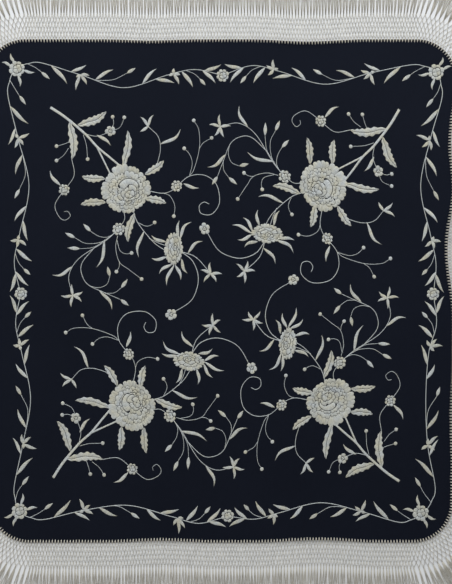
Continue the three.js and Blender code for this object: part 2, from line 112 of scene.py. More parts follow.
# Each leaf has a base, a tip and, where it isn't straight, a sideways bow as a share of its length.
SPRAY_LEAVES = {
    "rose": [
        ((-10, 66), (4, 177), -0.06), ((56, 44), (113, 86), -0.06), ((54, -25), (120, -42), 0.04),
        ((-64, 34), (-135, 42), 0.05), ((-62, -36), (-139, -43), -0.05), ((24, -70), (5, -156), -0.08)],
    "wood": [((-148, 193), (-60, 235), -0.08), ((-171, 207), (-165, 92), 0.07)],
    "slim": [
        ((-90, 165), (-47, 132), 0.08), ((-198, 14), (-231, 60), 0.10), ((101, 134), (164, 179), -0.14),
        ((172, 16), (219, 2), -0.07), ((-66, -147), (-92, -231), 0.10), ((-163, -226), (-225, -251), 0.14),
        ((-84, -299), (-45, -358), 0.12), ((53, -124), (37, -203), -0.12)],
    "spiky": [
        ((156, -146), (160, -94), 0.08), ((160, -152), (197, -99), 0.16), ((184, -193), (230, -157), 0.14),
        ((166, -208), (184, -252), -0.12), ((146, -226), (163, -272), 0.10),
        ((144, -226), (121, -288), -0.10), ((138, -224), (98, -253), -0.12),
        ((122, -202), (75, -205), 0.12), ((121, -158), (75, -137), 0.10)],
    "bud": [
        ((-108, -123), (-131, -100)), ((-156, -141), (-186, -126)), ((-141, -174), (-179, -171)),
        ((-51, -258), (-58, -228)), ((-17, -293), (3, -267)), ((-19, -327), (6, -346))],
}
# Each stem has its width at the first point and at the last, and the points that it runs through.
SPRAY_STEMS = [
    (7.5, 5.3, [(-229, 249), (-183, 218), (-123, 167), (-88, 129), (-52, 99), (-18, 70)]),
    (4.8, 4.0, [(-90, 131), (-71, 93), (-50, 50)]),
    (1.85, 1.67, [(-121, 167), (-87, 161), (-50, 174)]),
    (1.85, 1.67, [(-165, 94), (-158, 46), (-182, 8)]),
    (1.85, 1.41, [(-192, -2), (-216, -42), (-205, -76), (-187, -88), (-170, -76), (-178, -62), (-189, -63)]),
    (1.85, 1.67, [(92, 70), (103, 119), (96, 158), (68, 186)]),
    (2.02, 1.67, [(62, -3), (108, -12), (136, -5), (152, 9)]),
    (2.02, 1.85, [(156, 12), (191, 38), (236, 40), (272, 12), (281, -42), (258, -76), (226, -74),
                  (220, -52), (234, -40), (250, -46)]),
    (1.85, 1.67, [(-9, -60), (-6, -88), (-24, -117)]),
    (2.2, 1.67, [(-24, -117), (-66, -153), (-145, -204), (-175, -256), (-163, -313)]),
    (2.02, 1.67, [(-96, -170), (-134, -215), (-136, -250), (-115, -283), (-60, -309), (-20, -327)]),
    (2.2, 1.85, [(19, -60), (36, -102), (82, -158), (122, -186)]),
    (1.85, 1.67, [(68, -146), (96, -160), (124, -170)]),
    (2.2, 1.85, [(162, -186), (210, -205), (254, -254)]),
    (2.2, 1.85, [(166, -188), (198, -214), (215, -254), (213, -294), (192, -336), (136, -371)]),
    (1.58, 1.41, [(-172, 145), (-188, 139), (-211, 133)]),
    (1.58, 1.41, [(-174, 127), (-190, 105), (-211, 90)]),
    (1.58, 1.41, [(-130, 166), (-121, 136), (-117, 93)]),
    (1.58, 1.41, [(-44, 184), (-38, 199), (-41, 218)]),
    (1.58, 1.41, [(-40, 177), (-18, 188), (-6, 216)]),
    (1.58, 1.41, [(110, -11), (132, -21), (146, -50), (143, -81)]),
    (1.58, 1.41, [(191, 40), (199, 75), (192, 102), (175, 121)]),
    (1.67, 1.41, [(191, 39), (205, 60), (221, 122), (219, 176), (204, 204)]),
    (1.58, 1.41, [(221, 120), (233, 137), (258, 151)]),
    (1.58, 1.41, [(36, -99), (57, -109), (73, -107), (85, -99)]),
    (1.58, 1.41, [(-29, -150), (-20, -181), (-3, -191), (15, -189)]),
    (1.67, 1.41, [(-27, -137), (-33, -173), (-22, -215), (5, -237), (45, -267)]),
    (1.58, 1.41, [(-22, -215), (-23, -230), (-31, -244)]),
    (1.67, 1.41, [(-36, -130), (-60, -141), (-85, -137), (-108, -123)]),
    (1.67, 1.41, [(-46, -137), (-80, -156), (-124, -158), (-156, -141)]),
    (1.67, 1.41, [(-66, -150), (-100, -170), (-141, -174)]),
    (1.67, 1.41, [(-112, -286), (-84, -291), (-60, -281), (-51, -258)]),
    (1.67, 1.41, [(-66, -308), (-38, -307), (-17, -293)]),
]
SPRAY_BALLS = [(-211, 133), (-211, 90), (-117, 93), (-41, 218), (-6, 216), (143, -81), (175, 121),
               (204, 204), (258, 151), (85, -99), (15, -189), (45, -267), (-31, -244)]
BALL_RADIUS = 5.9
BALL_HEIGHT = 1.9
# Each floret has a place, a radius and a number of petals.
SPRAY_FLORETS = [((-48, 176), 17, 5), ((-188, 2), 18, 8), ((152, 9), 18, 8), ((-24, -117), 20, 8),
                 ((134, -374), 18, 5)]
# Each star has a place, and a direction in degrees and a length for each of its petals.
SPRAY_STARS = [
    ((66, 188), [(64, 38), (129, 37), (211, 29)]),
    ((-163, -313), [(180, 36), (262, 35), (95, 34), (323, 33), (20, 32)]),
    ((254, -254), [(92, 34), (160, 33), (358, 35), (303, 30), (230, 33)]),
]
STAR_PETAL_WIDTH = 8.4
STAR_BENDS = (0.09, -0.07, 0.05)

# Rings of scalloped petals, from the outside in, anticlockwise. Each petal starts where the one
# before it ends, and has an angle in degrees where it ends, a reach as a share of the flower's
# radius, and a number of rounded lobes.
# off is where the ring's middle lies, as shares of the radius: the heart sits a little off.
# line widens the dark gap round the petals, and dip deepens the notches between lobes. A ring
# without them has the usual ones.
USUAL_LINE = 1.2
USUAL_DIP = 0.5
ROSE_RADIUS = 75
ROSE_RINGS = [
    {"off": (0, 0), "line": 0.8, "dip": 0.35, "petals": [
        (24, 1.00, 3), (52, 0.96, 2), (86, 0.99, 3), (128, 1.05, 3), (158, 1.00, 2), (208, 1.02, 4),
        (260, 0.98, 4), (294, 0.97, 3), (347, 0.92, 4)]},
    {"off": (0.01, 0.01), "line": 0.5, "dip": 0.7, "petals": [
        (40, 0.80, 2), (96, 0.74, 3), (140, 0.68, 3), (186, 0.77, 3), (244, 0.74, 4), (290, 0.80, 3),
        (366, 0.76, 4)]},
    {"off": (0.02, -0.02), "line": 1.4, "dip": 0.8, "petals": [
        (40, 0.66, 3), (98, 0.58, 3), (158, 0.52, 3), (205, 0.61, 3), (258, 0.66, 3), (304, 0.60, 3),
        (356, 0.66, 3)]},
    {"off": (0.09, -0.05), "line": 1.4, "dip": 0.8, "petals": [
        (158, 0.47, 1), (200, 0.43, 2), (232, 0.51, 1), (262, 0.46, 2), (286, 0.51, 1), (314, 0.47, 2),
        (346, 0.50, 1), (380, 0.42, 2)]},
    {"off": (0.12, -0.13), "line": 1.4, "dip": 0.8, "petals": [
        (96, 0.34, 1), (168, 0.28, 2), (214, 0.33, 1), (258, 0.36, 2), (290, 0.31, 1), (326, 0.36, 1),
        (374, 0.30, 2)]},
    {"off": (0.13, -0.18), "line": 1.4, "dip": 0.8, "petals": [
        (70, 0.22, 1), (160, 0.15, 1), (250, 0.21, 1), (330, 0.18, 2)]},
]
PEONY_PLACE = (142, -179)
PEONY_RADII = (29.5, 49.5)
PEONY_RINGS = [
    {"off": (0, 0), "line": 0.9, "dip": 0.6, "petals": [
        (20, 0.99, 2), (62, 0.96, 3), (96, 1.04, 2), (130, 1.02, 2), (168, 0.93, 2), (208, 0.98, 3),
        (246, 0.96, 2), (290, 1.03, 3), (336, 0.97, 3)]},
    {"off": (0.05, 0.04), "line": 1.0, "dip": 0.7, "petals": [
        (44, 0.66, 2), (92, 0.74, 3), (140, 0.68, 2), (196, 0.60, 2), (250, 0.70, 3), (300, 0.74, 2),
        (354, 0.62, 2)]},
    {"off": (0.10, -0.02), "petals": [
        (96, 0.44, 1), (168, 0.36, 2), (262, 0.44, 2), (330, 0.38, 1), (380, 0.38, 1)]},
    {"off": (0.14, 0.04), "petals": [(150, 0.18, 1), (260, 0.17, 1), (360, 0.18, 1)]},
]
CORNER_RINGS = [
    {"off": (0, 0), "petals": [
        (46, 1.0, 1), (90, 0.96, 1), (132, 1.02, 1), (176, 0.97, 1), (222, 1.0, 1), (268, 0.98, 1),
        (314, 1.03, 1), (360, 0.96, 1)]},
    {"off": (0.03, 0), "petals": [
        (100, 0.56, 1), (185, 0.52, 1), (290, 0.56, 1), (380, 0.54, 1)]},
]
FLORET_RINGS = {
    5: [
        {"off": (0, 0), "petals": [
            (80, 1.0, 1), (150, 0.96, 1), (226, 1.0, 1), (298, 0.96, 1), (370, 1.0, 1)]},
        {"off": (0, 0), "petals": [(120, 0.34, 1), (240, 0.34, 1), (360, 0.34, 1)]},
    ],
    8: CORNER_RINGS,
}

# Every quarter repeats the first one, each a quarter turn further clockwise. Each has the place of
# its rose, and the directions that the spray's own x and y take, which lean and stretch it a little.
SPRAYS = [
    ("top_left", (-283, 303), (0.99, 0.014), (-0.003, 1.003)),
    ("top_right", (304, 314), (0.958, -0.029), (-0.039, 1.034)),
    ("bottom_right", (327, -330), (0.956, 0.017), (0.048, 0.979)),
    ("bottom_left", (-266, -343), (0.962, -0.061), (-0.013, 1.010)),
]

# The vine border. Each side runs clockwise from its corner flower past its middle flower to the next
# corner. The pairs hold, in millimetres, how far the vine of its first and second half swings out
# and in, and how far outwards all that lies near one place of the half is moved.
BORDER_SIDES = [
    {"name": "top", "hand": 3, "corner": (-611, 665), "middle": (5, 645),
     "bulges": (24, 26), "sags": (45, 31), "dips": (-12, 0), "lifts": (0, 0), "rises": (0, 17)},
    {"name": "right", "hand": 5, "corner": (644, 655), "middle": (635, -9),
     "bulges": (22, 43), "sags": (40, 35), "dips": (-16, 9), "lifts": (0, 30), "rises": (-10, 0)},
    {"name": "bottom", "hand": 6, "corner": (598, -664), "middle": (20, -673),
     "bulges": (31, 27), "sags": (34, 24), "dips": (-7, -7), "lifts": (0, 0), "rises": (-5, 12)},
    {"name": "left", "hand": 4, "corner": (-603, -659), "middle": (-599, -8),
     "bulges": (19, 32), "sags": (30, 30), "dips": (-9, 0), "lifts": (0, 0), "rises": (0, 4)},
]
# Places are shares of the way from a corner flower to the middle flower, and millimetres outwards.
# The three moves: the middle and the spread of each, as shares of the way.
VINE_MOVES = (("dips", 0.32, 0.13), ("lifts", 0.52, 0.10), ("rises", 0.80, 0.12))
# The vine's points: share, millimetres outwards, share of the bulge and share of the sag.
VINE_WAVE = [
    (0.02, 0, 0.45, 0), (0.055, 0, 0.7, 0), (0.12, 0, 0.88, 0), (0.31, 0, 0, 0),
    (0.52, 0, 0, 1), (0.73, 0, 0, 0.1), (0.86, 15, 0, 0), (0.985, 3, 0, 0),
]
# Leaves on the vine: share at the base, place of the tip, width and bow.
VINE_LEAVES = [
    (0.165, (0.245, -32), 11, 0.10), (0.262, (0.337, 30), 9, -0.10), (0.381, (0.469, 10), 10, 0.12),
    (0.61, (0.678, 14), 10, 0.12), (0.674, (0.765, -27), 10, 0.08), (0.80, (0.856, -38), 11, 0.10),
    (0.90, (0.965, -24), 10, 0.12), (0.91, (0.992, 33), 10, -0.12),
]
# The vine's leaves bow by this share of what is listed.
VINE_LEAF_BOW = 0.45
# Buds on stalks: share where the stalk starts, then the places of its bend, the bud's base and tip.
VINE_BUDS = [
    (0.05, (0.09, 6), (0.119, -6), (0.160, -25)),
    (0.385, (0.467, -20), (0.534, -2), (0.577, 14)),
    (0.82, (0.862, 2), (0.889, -12), (0.917, -31)),
]
VINE_BUD_WIDTH = 9.6
# Tulips: share at the root, and how far each petal's tip lies ahead of the root and outwards of it.
TULIPS = [
    (0.309, [(0.044, 14), (-0.022, -31), (-0.022, 9), (0.031, -13)]),
    (0.760, [(0.004, 27), (-0.020, 3), (0.035, 8), (0.028, -21)]),
]
TULIP_PETAL_WIDTH = 9.4
TULIP_BENDS = (0.06, -0.05, 0.04)
CORNER_FLOWER_RADIUS = 25
MIDDLE_FLOWER_RADIUS = 20
# Leaves round a corner flower: degrees from the diagonal, reach of the tip and bow.
CORNER_LEAVES = [(-23, 50, 0.10), (23, 49, -0.12), (145, 54, 0.10), (215, 54, -0.10)]
CORNER_LEAF_START = 19
CORNER_LEAF_WIDTH = 8.2

# The hem: the distance between its rings of points, the points in a ring, and how far the middle of
# the roll lies inside the edge.
HEM_STEP = 5 * MM
HEM_SIDES = 8
HEM_INSET = 1.2 * MM

# The fringe, in millimetres: how far out the net starts and how far its knots stray, the radii of
# knots, the thickness of yarn, and the height of the ties over the cloth.
NET_START = 3.0
KNOT_STRAY = 1.6
TIE_KNOT = 1.3
NET_KNOT = 1.7
LAST_KNOT = 2.2
NET_YARN = 1.7
TIE_YARN = 1.6
TIE_TOP = 2.3
# The height of yarn, as a share of its width.
YARN_FLATNESS = 0.8
# Strands fall the way that the edge faces, evened out over so many millimetres to either side.
FALL_SPREAD = 110
# How many more strands a last knot has at a corner, and how far the edge has turned where one starts.
CORNER_STRANDS = 4
CORNER_TURN = 0.02

# The stage, in metres and watts.
FLOOR_SIZE = 60
CAMERA_PLACE = (0.015, -0.003)
SENSOR_WIDTH = 36
SKY_COLOUR = (0.92, 0.95, 1.0, 1)
SKY_STRENGTH = 0.39
# Each lamp has a place, the place that it is turned to, its size, power, colour and spread in degrees.
LAMPS = {
    "top_window": ((0.1, 2.6, 1.5), (0, 0.4, 0), (4.4, 2.3), 36, (0.93, 0.96, 1.0), 70),
    "soft_ceiling": ((-0.5, -0.2, 3.4), (0, 0, 0), (3.0, 3.0), 6, (1.0, 0.99, 0.97), 180),
    "low_fill": ((-2.2, -1.8, 1.8), (0, -0.3, 0), (1.6, 1.6), 12, (1.0, 0.98, 0.95), 180),
}


def noise(*keys):
    """A repeatable value from 0 to 1 for whole-number keys."""
    value = math.sin(sum(k * s for k, s in zip(keys, NOISE_SCALES))) * NOISE_STRETCH
    return value - math.floor(value)


def unit(rows):
    """The same directions, each of length one."""
    return rows / np.maximum(np.linalg.norm(rows, axis=1), 1e-9)[:, None]


def ray(angle):
    """The direction at an angle in radians."""
    return np.array((math.cos(angle), math.sin(angle)))


def rays(angles):
    """The directions at many angles, one to a row."""
    return np.stack((np.cos(angles), np.sin(angles)), axis=1)


def left_of(direction):
    """The direction a quarter turn to the left."""
    return np.array((-direction[1], direction[0]))


def travel(path):
    """How far along a path each of its points lies."""
    return np.concatenate(((0,), np.cumsum(np.linalg.norm(np.diff(path, axis=0), axis=1))))


def sideways(path):
    """Unit directions to the left of a path."""
    run = unit(np.gradient(path, axis=0))
    return np.stack((-run[:, 1], run[:, 0]), axis=1)


def smooth_path(points, step):
    """A soft curve through the points, with a place about every step."""
    p = np.asarray(points, float)
    p = np.vstack((2 * p[0] - p[1], p, 2 * p[-1] - p[-2]))
    out = []
    for a, b, c, d in zip(p[:-3], p[1:-2], p[2:-1], p[3:]):
        count = max(2, int(round(np.linalg.norm(c - b) / step)))
        for t in np.arange(count) / count:
            out.append(
                0.5 * (2 * b + (c - a) * t + (2 * a - 5 * b + 4 * c - d) * t**2
                       + (3 * b - a - 3 * c + d) * t**3)
            )
    out.append(p[-2])
    return np.array(out)


def tube_faces(rows, around):
    """Faces round rows of points, with a cap on the first row and on the last."""
    faces = []
    for i in range(rows - 1):
        for k in range(around):
            m = (k + 1) % around
            faces.append((i * around + k, i * around + m, (i + 1) * around + m, (i + 1) * around + k))
    faces.append(tuple(range(around - 1, -1, -1)))
    faces.append(tuple((rows - 1) * around + k for k in range(around)))
    return faces


class Outline:
    """The edge of the cloth as a closed curve: points, outward directions, lift and side."""

    def __init__(self, step=4 * MM):
        rows = []
        for index, side in enumerate(SIDES):
            facing = index * math.pi / 2
            first, last = self.corner((index + 3) % 4), self.corner(index)
            normal = ray(facing)
            start, end = first + normal * CORNER_RADIUS, last + normal * CORNER_RADIUS
            length = np.linalg.norm(end - start)
            count = int(length / step)
            for i in range(count):
                drawn, rise = self.ripple(side, (i / count - 0.5) * length)
                rows.append((start + (end - start) * i / count - normal * drawn, normal, rise, index))
            arc = int(CORNER_RADIUS * math.pi / 2 / step)
            for i in range(arc):
                angle = facing + math.pi / 2 * i / arc
                normal = ray(angle)
                owner = index if i < arc / 2 else (index + 1) % 4
                rows.append((last + normal * CORNER_RADIUS, normal, 0.0, owner))
        self.points, self.outward, self.lift, self.side_of = (np.array(column) for column in zip(*rows))
        self.marks = travel(np.vstack((self.points, self.points[:1])))
        self.length = self.marks[-1]

    @staticmethod
    def corner(quadrant):
        """The middle of a corner's arc, anticlockwise from the top right."""
        width = TOP_WIDTH if quadrant < 2 else BOTTOM_WIDTH
        sign_x = 1 if quadrant in (0, 3) else -1
        sign_y = 1 if quadrant < 2 else -1
        return np.array((sign_x * (width / 2 - CORNER_RADIUS), sign_y * (HEIGHT / 2 - CORNER_RADIUS)))

    @staticmethod
    def ripple(side, along):
        """How far the edge is drawn in and lifted at a place on a side, in metres."""
        drawn = rise = 0.0
        for own_side, place, half_length, height, depth in RIPPLES:
            away = along / MM - place
            if own_side == side and abs(away) < half_length:
                share = math.cos(math.pi * away / (2 * half_length)) ** 2
                drawn += depth * share * MM
                rise += height * share * MM
        return drawn, rise

    def at(self, marks):
        """Point, outward direction and lift at distances along the edge."""
        marks = np.mod(np.asarray(marks, float), self.length)
        i = np.clip(np.searchsorted(self.marks, marks, side="right") - 1, 0, len(self.points) - 1)
        j = (i + 1) % len(self.points)
        share = (marks - self.marks[i]) / (self.marks[i + 1] - self.marks[i])
        point = self.points[i] + (self.points[j] - self.points[i]) * share[:, None]
        outward = self.outward[i] + (self.outward[j] - self.outward[i]) * share[:, None]
        lift = self.lift[i] + (self.lift[j] - self.lift[i]) * share
        return point, unit(outward), lift

    def side_spans(self):
        """Marks where the right, top, left and bottom sides start and end, at the corners' middles."""
        starts = []
        for side in range(len(SIDES)):
            own = np.nonzero(self.side_of == side)[0]
            breaks = np.nonzero(np.diff(own) > 1)[0]
            starts.append(self.marks[own[breaks[-1] + 1] if len(breaks) else own[0]])
        starts = np.array(starts)
        ends = np.roll(starts, -1)
        return starts, np.where(ends < starts, ends + self.length, ends)


EDGE = Outline()


def edge_lift(x, y):
    """How far the cloth lifts off the surface at points near its edge."""
    x, y = np.atleast_1d(x), np.atleast_1d(y)
    lift = np.zeros(len(x))
    near = (np.abs(x) > BOTTOM_WIDTH / 2 - SIDE_BAND) | (np.abs(y) > HEIGHT / 2 - END_BAND)
    for n in np.nonzero(near)[0]:
        gaps = np.hypot(EDGE.points[:, 0] - x[n], EDGE.points[:, 1] - y[n])
        i = int(gaps.argmin())
        lift[n] = EDGE.lift[i] * max(0.0, 1 - gaps[i] / RIPPLE_REACH)
    return lift


def undulation(x, y):
    """Very soft hills in the spread silk, none of them below the surface."""
    waves = (
        np.sin(x * 9.1 + 1.3) * np.sin(y * 7.3 + 0.4)
        + 0.6 * np.sin(x * 17.0 - y * 11.0 + 2.1)
        + 0.4 * np.sin(y * 23.0 + x * 5.0)
    )
    return (waves + 2.0) * HILL_HEIGHT * MM


def cloth_top(x, y):
    """Height of the cloth's upper face."""
    return CLOTH_THICKNESS + undulation(x, y) + edge_lift(x, y)


class Work:
    """Points, faces, thread directions and tones gathered for one joined mesh."""

    def __init__(self):
        self.points, self.faces, self.uv, self.tone = [], [], [], []
        self.count = 0

    def add(self, points, faces, uv, tone):
        """Adds one closed form, whose faces count its own points from 0."""
        self.points.append(np.asarray(points, float))
        self.faces.extend(tuple(int(k) + self.count for k in f) for f in faces)
        self.uv.append(np.asarray(uv, float))
        self.tone.append(np.full(len(points), tone))
        self.count += len(points)

    def piece(self, name, material, slot, replaced=None):
        """Makes the mesh, and hides the solid whose place it takes, where there is one."""
        mesh = bpy.data.meshes.new(name)
        mesh.from_pydata(np.concatenate(self.points).tolist(), [], self.faces)
        corner_point = np.zeros(len(mesh.loops), dtype=np.int32)
        mesh.loops.foreach_get("vertex_index", corner_point)
        uv = np.concatenate(self.uv)[corner_point]
        mesh.uv_layers.new(name="thread").data.foreach_set("uv", uv.astype(np.float32).ravel())
        tone = mesh.attributes.new("tone", "FLOAT", "POINT")
        tone.data.foreach_set("value", np.concatenate(self.tone).astype(np.float32))
        mesh.polygons.foreach_set("use_smooth", np.full(len(mesh.polygons), True))
        mesh.materials.append(material)
        mesh.update()
        mesh.validate()
        piece = bpy.data.objects.new(name, mesh)
        bpy.context.collection.objects.link(piece)
        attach(piece, "root")
        if replaced:
            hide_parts(replaced)
        return piece


class Needle(Work):
    """Satin stitch laid on the cloth through a map from pattern millimetres to the cloth."""

    BACK = -0.25 * MM

    def __init__(self, place, hand):
        super().__init__()
        self.place = place
        self.hand = 20 * hand
        self.patches = self.flowers = 0

    def patch(self, left, right, height, pitch=1.0, tone=None):
        """Stitches from left[i] to right[i], crowned in the middle. Sizes in millimetres."""
        left, right = np.asarray(left, float), np.asarray(right, float)
        rows, around = len(left), len(CROWN)
        across = np.maximum(np.linalg.norm(right - left, axis=1), 1e-3)
        edge = np.minimum(EDGE_ROUNDING / across, 0.16)
        brow = np.minimum(4 * EDGE_ROUNDING / across, 0.33)
        half = np.full(rows, 0.5)
        share = np.stack((0 * half, edge, brow, half, 1 - brow, 1 - edge, 0 * half + 1), axis=1)
        flat = left[:, None] * (1 - share)[:, :, None] + right[:, None] * share[:, :, None]
        world = self.place(flat.reshape(-1, 2))
        ends = np.ones(rows)
        ends[0] = ends[-1] = END_CROWN
        lift = (CROWN[None, :] * ends[:, None]).ravel() * (height * MM - self.BACK)
        z = cloth_top(world[:, 0], world[:, 1]) + self.BACK + lift
        u = (share * across[:, None]).ravel() + PATCH_SPACING * self.patches
        v = np.repeat(travel((left + right) / 2), around) * pitch
        faces = tube_faces(rows, around)
        if self.runs_clockwise(world.reshape(rows, around, 2)):
            faces = [f[::-1] for f in faces]
        self.patches += 1
        # Painted sheen: a patch without a given tone gets a random one, which makes its floss lighter or
        # darker as if the light caught its threads another way.
        tone = noise(self.patches, 3.0) if tone is None else tone
        self.add(np.column_stack((world, z)), faces, np.stack((u, v), axis=1) * MM, tone)

    @staticmethod
    def runs_clockwise(grid):
        """Whether the cells of a grid of points run clockwise, seen from above."""
        e1 = grid[:-1, 1:] - grid[:-1, :-1]
        e2 = grid[1:, :-1] - grid[:-1, :-1]
        return (e1[..., 0] * e2[..., 1] - e1[..., 1] * e2[..., 0]).sum() < 0

    def stem(self, points, widths, height=0.9, step=3.0):
        """A line of rope-like stem stitch that tapers from one width to the other."""
        path = smooth_path(points, step)
        share = np.linspace(0, 1, len(path))
        half = (widths[0] + (widths[1] - widths[0]) * share)[:, None] * STEM_FULLNESS
        side = sideways(path)
        tone = THIN_STEM_TONE if widths[0] < THICK_STEM else THICK_STEM_TONE
        self.patch(path + side * half, path - side * half, height, pitch=0.6, tone=tone)

    def leaf(self, base, tip, width, bend=0.0, teeth=0, height=1.05):
        """A pointed leaf that bows sideways by bend times its length. A notched one has a midrib."""
        base, tip = np.asarray(base, float), np.asarray(tip, float)
        run = tip - base
        length = np.linalg.norm(run)
        normal = left_of(run) / length
        t = np.linspace(0, 1, teeth * NOTCH_ROWS + 1 if teeth else PLAIN_LEAF_ROWS)
        bow = bend * length * (np.sin(np.pi * t) - 0.26 * np.sin(2 * np.pi * t))
        path = base + run * t[:, None] + normal * bow[:, None]
        side = sideways(path)
        half = width / 2 * np.sin(np.pi * t**0.84) ** (0.8 if teeth else 1.08) + 0.25
        if not teeth:
            self.patch(path + side * half[:, None], path - side * half[:, None], height)
            return
        wobble = 0.8 * np.sin(t * 13.0 + length)
        groove = 0.42 * np.sin(np.pi * np.clip(t, 0.02, 0.97)) ** 0.5 + 0.08
        for sign in (1, -1):
            tooth = 1 + 0.17 * np.cos(2 * np.pi * (teeth * t - 0.35 + 0.25 * sign))
            outer_t = np.clip(t + 0.07 * np.sin(np.pi * t), 0, 1)
            outer = base + run * outer_t[:, None] + normal * np.interp(outer_t, t, bow)[:, None]
            outer = outer + side * (sign * half * tooth)[:, None]
            inner = path + side * (wobble + sign * groove)[:, None]
            self.patch(inner, outer, height)

    def rings(self, at, radii, rings, puff=0.15, gap=0.42, height=1.05):
        """Rings of scalloped petals stitched outwards, each filling up to the ring round it."""
        shape = np.array(radii)
        mean = sum(radii) / 2
        self.flowers += 1
        rings = [self.hand_drawn(ring, n) for n, ring in enumerate(rings)]
        for n, ring in enumerate(rings):
            inside = rings[n + 1] if n + 1 < len(rings) else None
            middle = np.asarray(at, float) + np.array(ring["off"]) * shape
            for k, (start, end, _, lobes) in enumerate(ring["petals"]):
                lobe_rows = SINGLE_LOBE_ROWS if lobes < 2 and mean > LARGE_FLOWER else LOBE_ROWS
                t = np.linspace(0, 1, lobes * lobe_rows + 1)
                turn = np.radians(start + (end - start) * t)
                line = gap / mean * ring["line"] * (0.6 + 0.8 * np.sin(turn * 2.3 + n * 1.7 + k) ** 2)
                outer = scallop(ring, np.degrees(turn), puff) - line
                inner = hole(ring, inside, turn, puff) + line if inside else np.full(len(t), 0.02)
                outer = np.maximum(outer, inner + 0.02)
                sides = []
                for radius in (inner, outer):
                    cut = gap * (0.2 if n == 0 else 0.5)
                    trim = np.minimum(cut / (radius * mean), math.radians(end - start) * 0.2)
                    sides.append(middle + rays(turn + trim * (1 - 2 * t)) * radius[:, None] * shape)
                self.patch(*sides, height + 0.08 * n)

    def hand_drawn(self, ring, level):
        """The ring with each petal's start too, all a little uneven, another way on every flower."""
        flower = self.hand + self.flowers

        def stray(angle):
            """The angle moved a little, the same way for both petals that meet there."""
            return angle + (7 + 2 * level) * (noise(round(angle) % 360, flower, level) - 0.5)

        petals = []
        start = ring["petals"][-1][0] - 360
        for k, (end, reach, lobes) in enumerate(ring["petals"]):
            uneven = 1 + (0.05 + 0.03 * level) * (noise(k, level + 3, flower) - 0.5)
            petals.append((stray(start), stray(end), reach * uneven, lobes))
            start = end
        return {"line": USUAL_LINE, "dip": USUAL_DIP} | ring | {"petals": petals}

    def dome(self, centre, radius, height, around=10):
        """A round padded dot."""
        angles = np.linspace(0, 2 * np.pi, around, endpoint=False)
        flat, rise, uv = [], [], []
        for share, up in DOME_RINGS:
            flat.append(rays(angles) * share * radius)
            rise.append(np.full(around, up * height))
            uv.append(np.stack((np.full(around, share * radius), angles * radius), axis=1))
        flat.append(np.zeros((1, 2)))
        rise.append(np.array((height,)))
        uv.append(np.zeros((1, 2)))
        world = self.place(np.vstack(flat) + np.asarray(centre, float))
        z = cloth_top(world[:, 0], world[:, 1]) + self.BACK + np.concatenate(rise) * MM
        open_top = tube_faces(len(DOME_RINGS), around)[:-1]
        last = (len(DOME_RINGS) - 1) * around
        fan = [(last + k, last + (k + 1) % around, last + around) for k in range(around)]
        self.patches += 1
        self.add(np.column_stack((world, z)), open_top + fan, np.vstack(uv) * MM, noise(self.patches, 5.0))

    def floret(self, at, radius, petals):
        """A small round flower of puffy petals."""
        self.rings(at, (radius, radius), FLORET_RINGS[petals], puff=0.26, gap=0.45, height=1.2)

    def star(self, at, petals):
        """Pointed curved petals from one middle, with a dot over it."""
        at = np.asarray(at, float)
        for k, (direction, length) in enumerate(petals):
            out = ray(math.radians(direction))
            self.leaf(at - out * 1.5, at + out * length, STAR_PETAL_WIDTH, bend=STAR_BENDS[k % 3])
        self.dome(at, 3.4, 1.3, 8)


def scallop(ring, angles, puff):
    """How far a ring of petals reaches at angles in degrees, as a share of the flower's radius."""
    reach = np.zeros(len(angles))
    for start, end, outer, lobes in ring["petals"]:
        t = ((angles - start) % 360) / (end - start)
        roundness = min(LOBE_ROUNDNESS, WIDE_LOBE * lobes / (end - start))
        notch = 1 - np.abs(np.sin(np.pi * lobes * t)) ** roundness
        petal = np.abs(np.sin(np.pi * t)) ** 0.4
        dip = notch if lobes == 1 else ring["dip"] * notch + 0.5 * (1 - petal)
        reach = np.where(t < 1, outer * (1 - puff * dip), reach)
    return np.where(reach == 0, min(row[2] for row in ring["petals"]), reach)


def hole(ring, inside, turn, puff):
    """How far from a ring's middle its petals start: at the outline of the ring inside it."""
    arm = rays(turn)
    away = np.array(ring["off"]) - np.array(inside["off"])
    reach = scallop(inside, np.degrees(turn), puff)
    for _ in range(8):
        spot = away + arm * reach[:, None]
        edge = scallop(inside, np.degrees(np.arctan2(spot[:, 1], spot[:, 0])), puff)
        reach = reach + 0.8 * (edge - np.hypot(spot[:, 0], spot[:, 1]))
    return reach


def sew_spray(turns, centre, across, up):
    """One spray, turned clockwise by quarter turns."""
    c, s = round(math.cos(turns * math.pi / 2)), -round(math.sin(turns * math.pi / 2))
    centre, across, up = (np.array(pair, float) for pair in (centre, across, up))

    def place(points):
        """From the spray's own millimetres to the cloth."""
        p = np.asarray(points, float)
        x, y = c * p[:, 0] - s * p[:, 1], s * p[:, 0] + c * p[:, 1]
        return (centre + x[:, None] * across + y[:, None] * up) * MM

    needle = Needle(place, turns)
    for first, last, points in SPRAY_STEMS:
        needle.stem(points, (first, last), height=0.7 + 0.07 * first)
    for kind, leaves in SPRAY_LEAVES.items():
        width, teeth = LEAF_KINDS[kind]
        for base, tip, *bend in leaves:
            needle.leaf(base, tip, width, *bend, teeth=teeth)
    for ball in SPRAY_BALLS:
        needle.dome(ball, BALL_RADIUS, BALL_HEIGHT)
    for at, radius, petals in SPRAY_FLORETS:
        needle.floret(at, radius, petals)
    for at, petals in SPRAY_STARS:
        needle.star(at, petals)
    needle.rings((0, 0), (ROSE_RADIUS, ROSE_RADIUS), ROSE_RINGS)
    needle.rings(PEONY_PLACE, PEONY_RADII, PEONY_RINGS, puff=0.17, gap=0.45)
    return needle


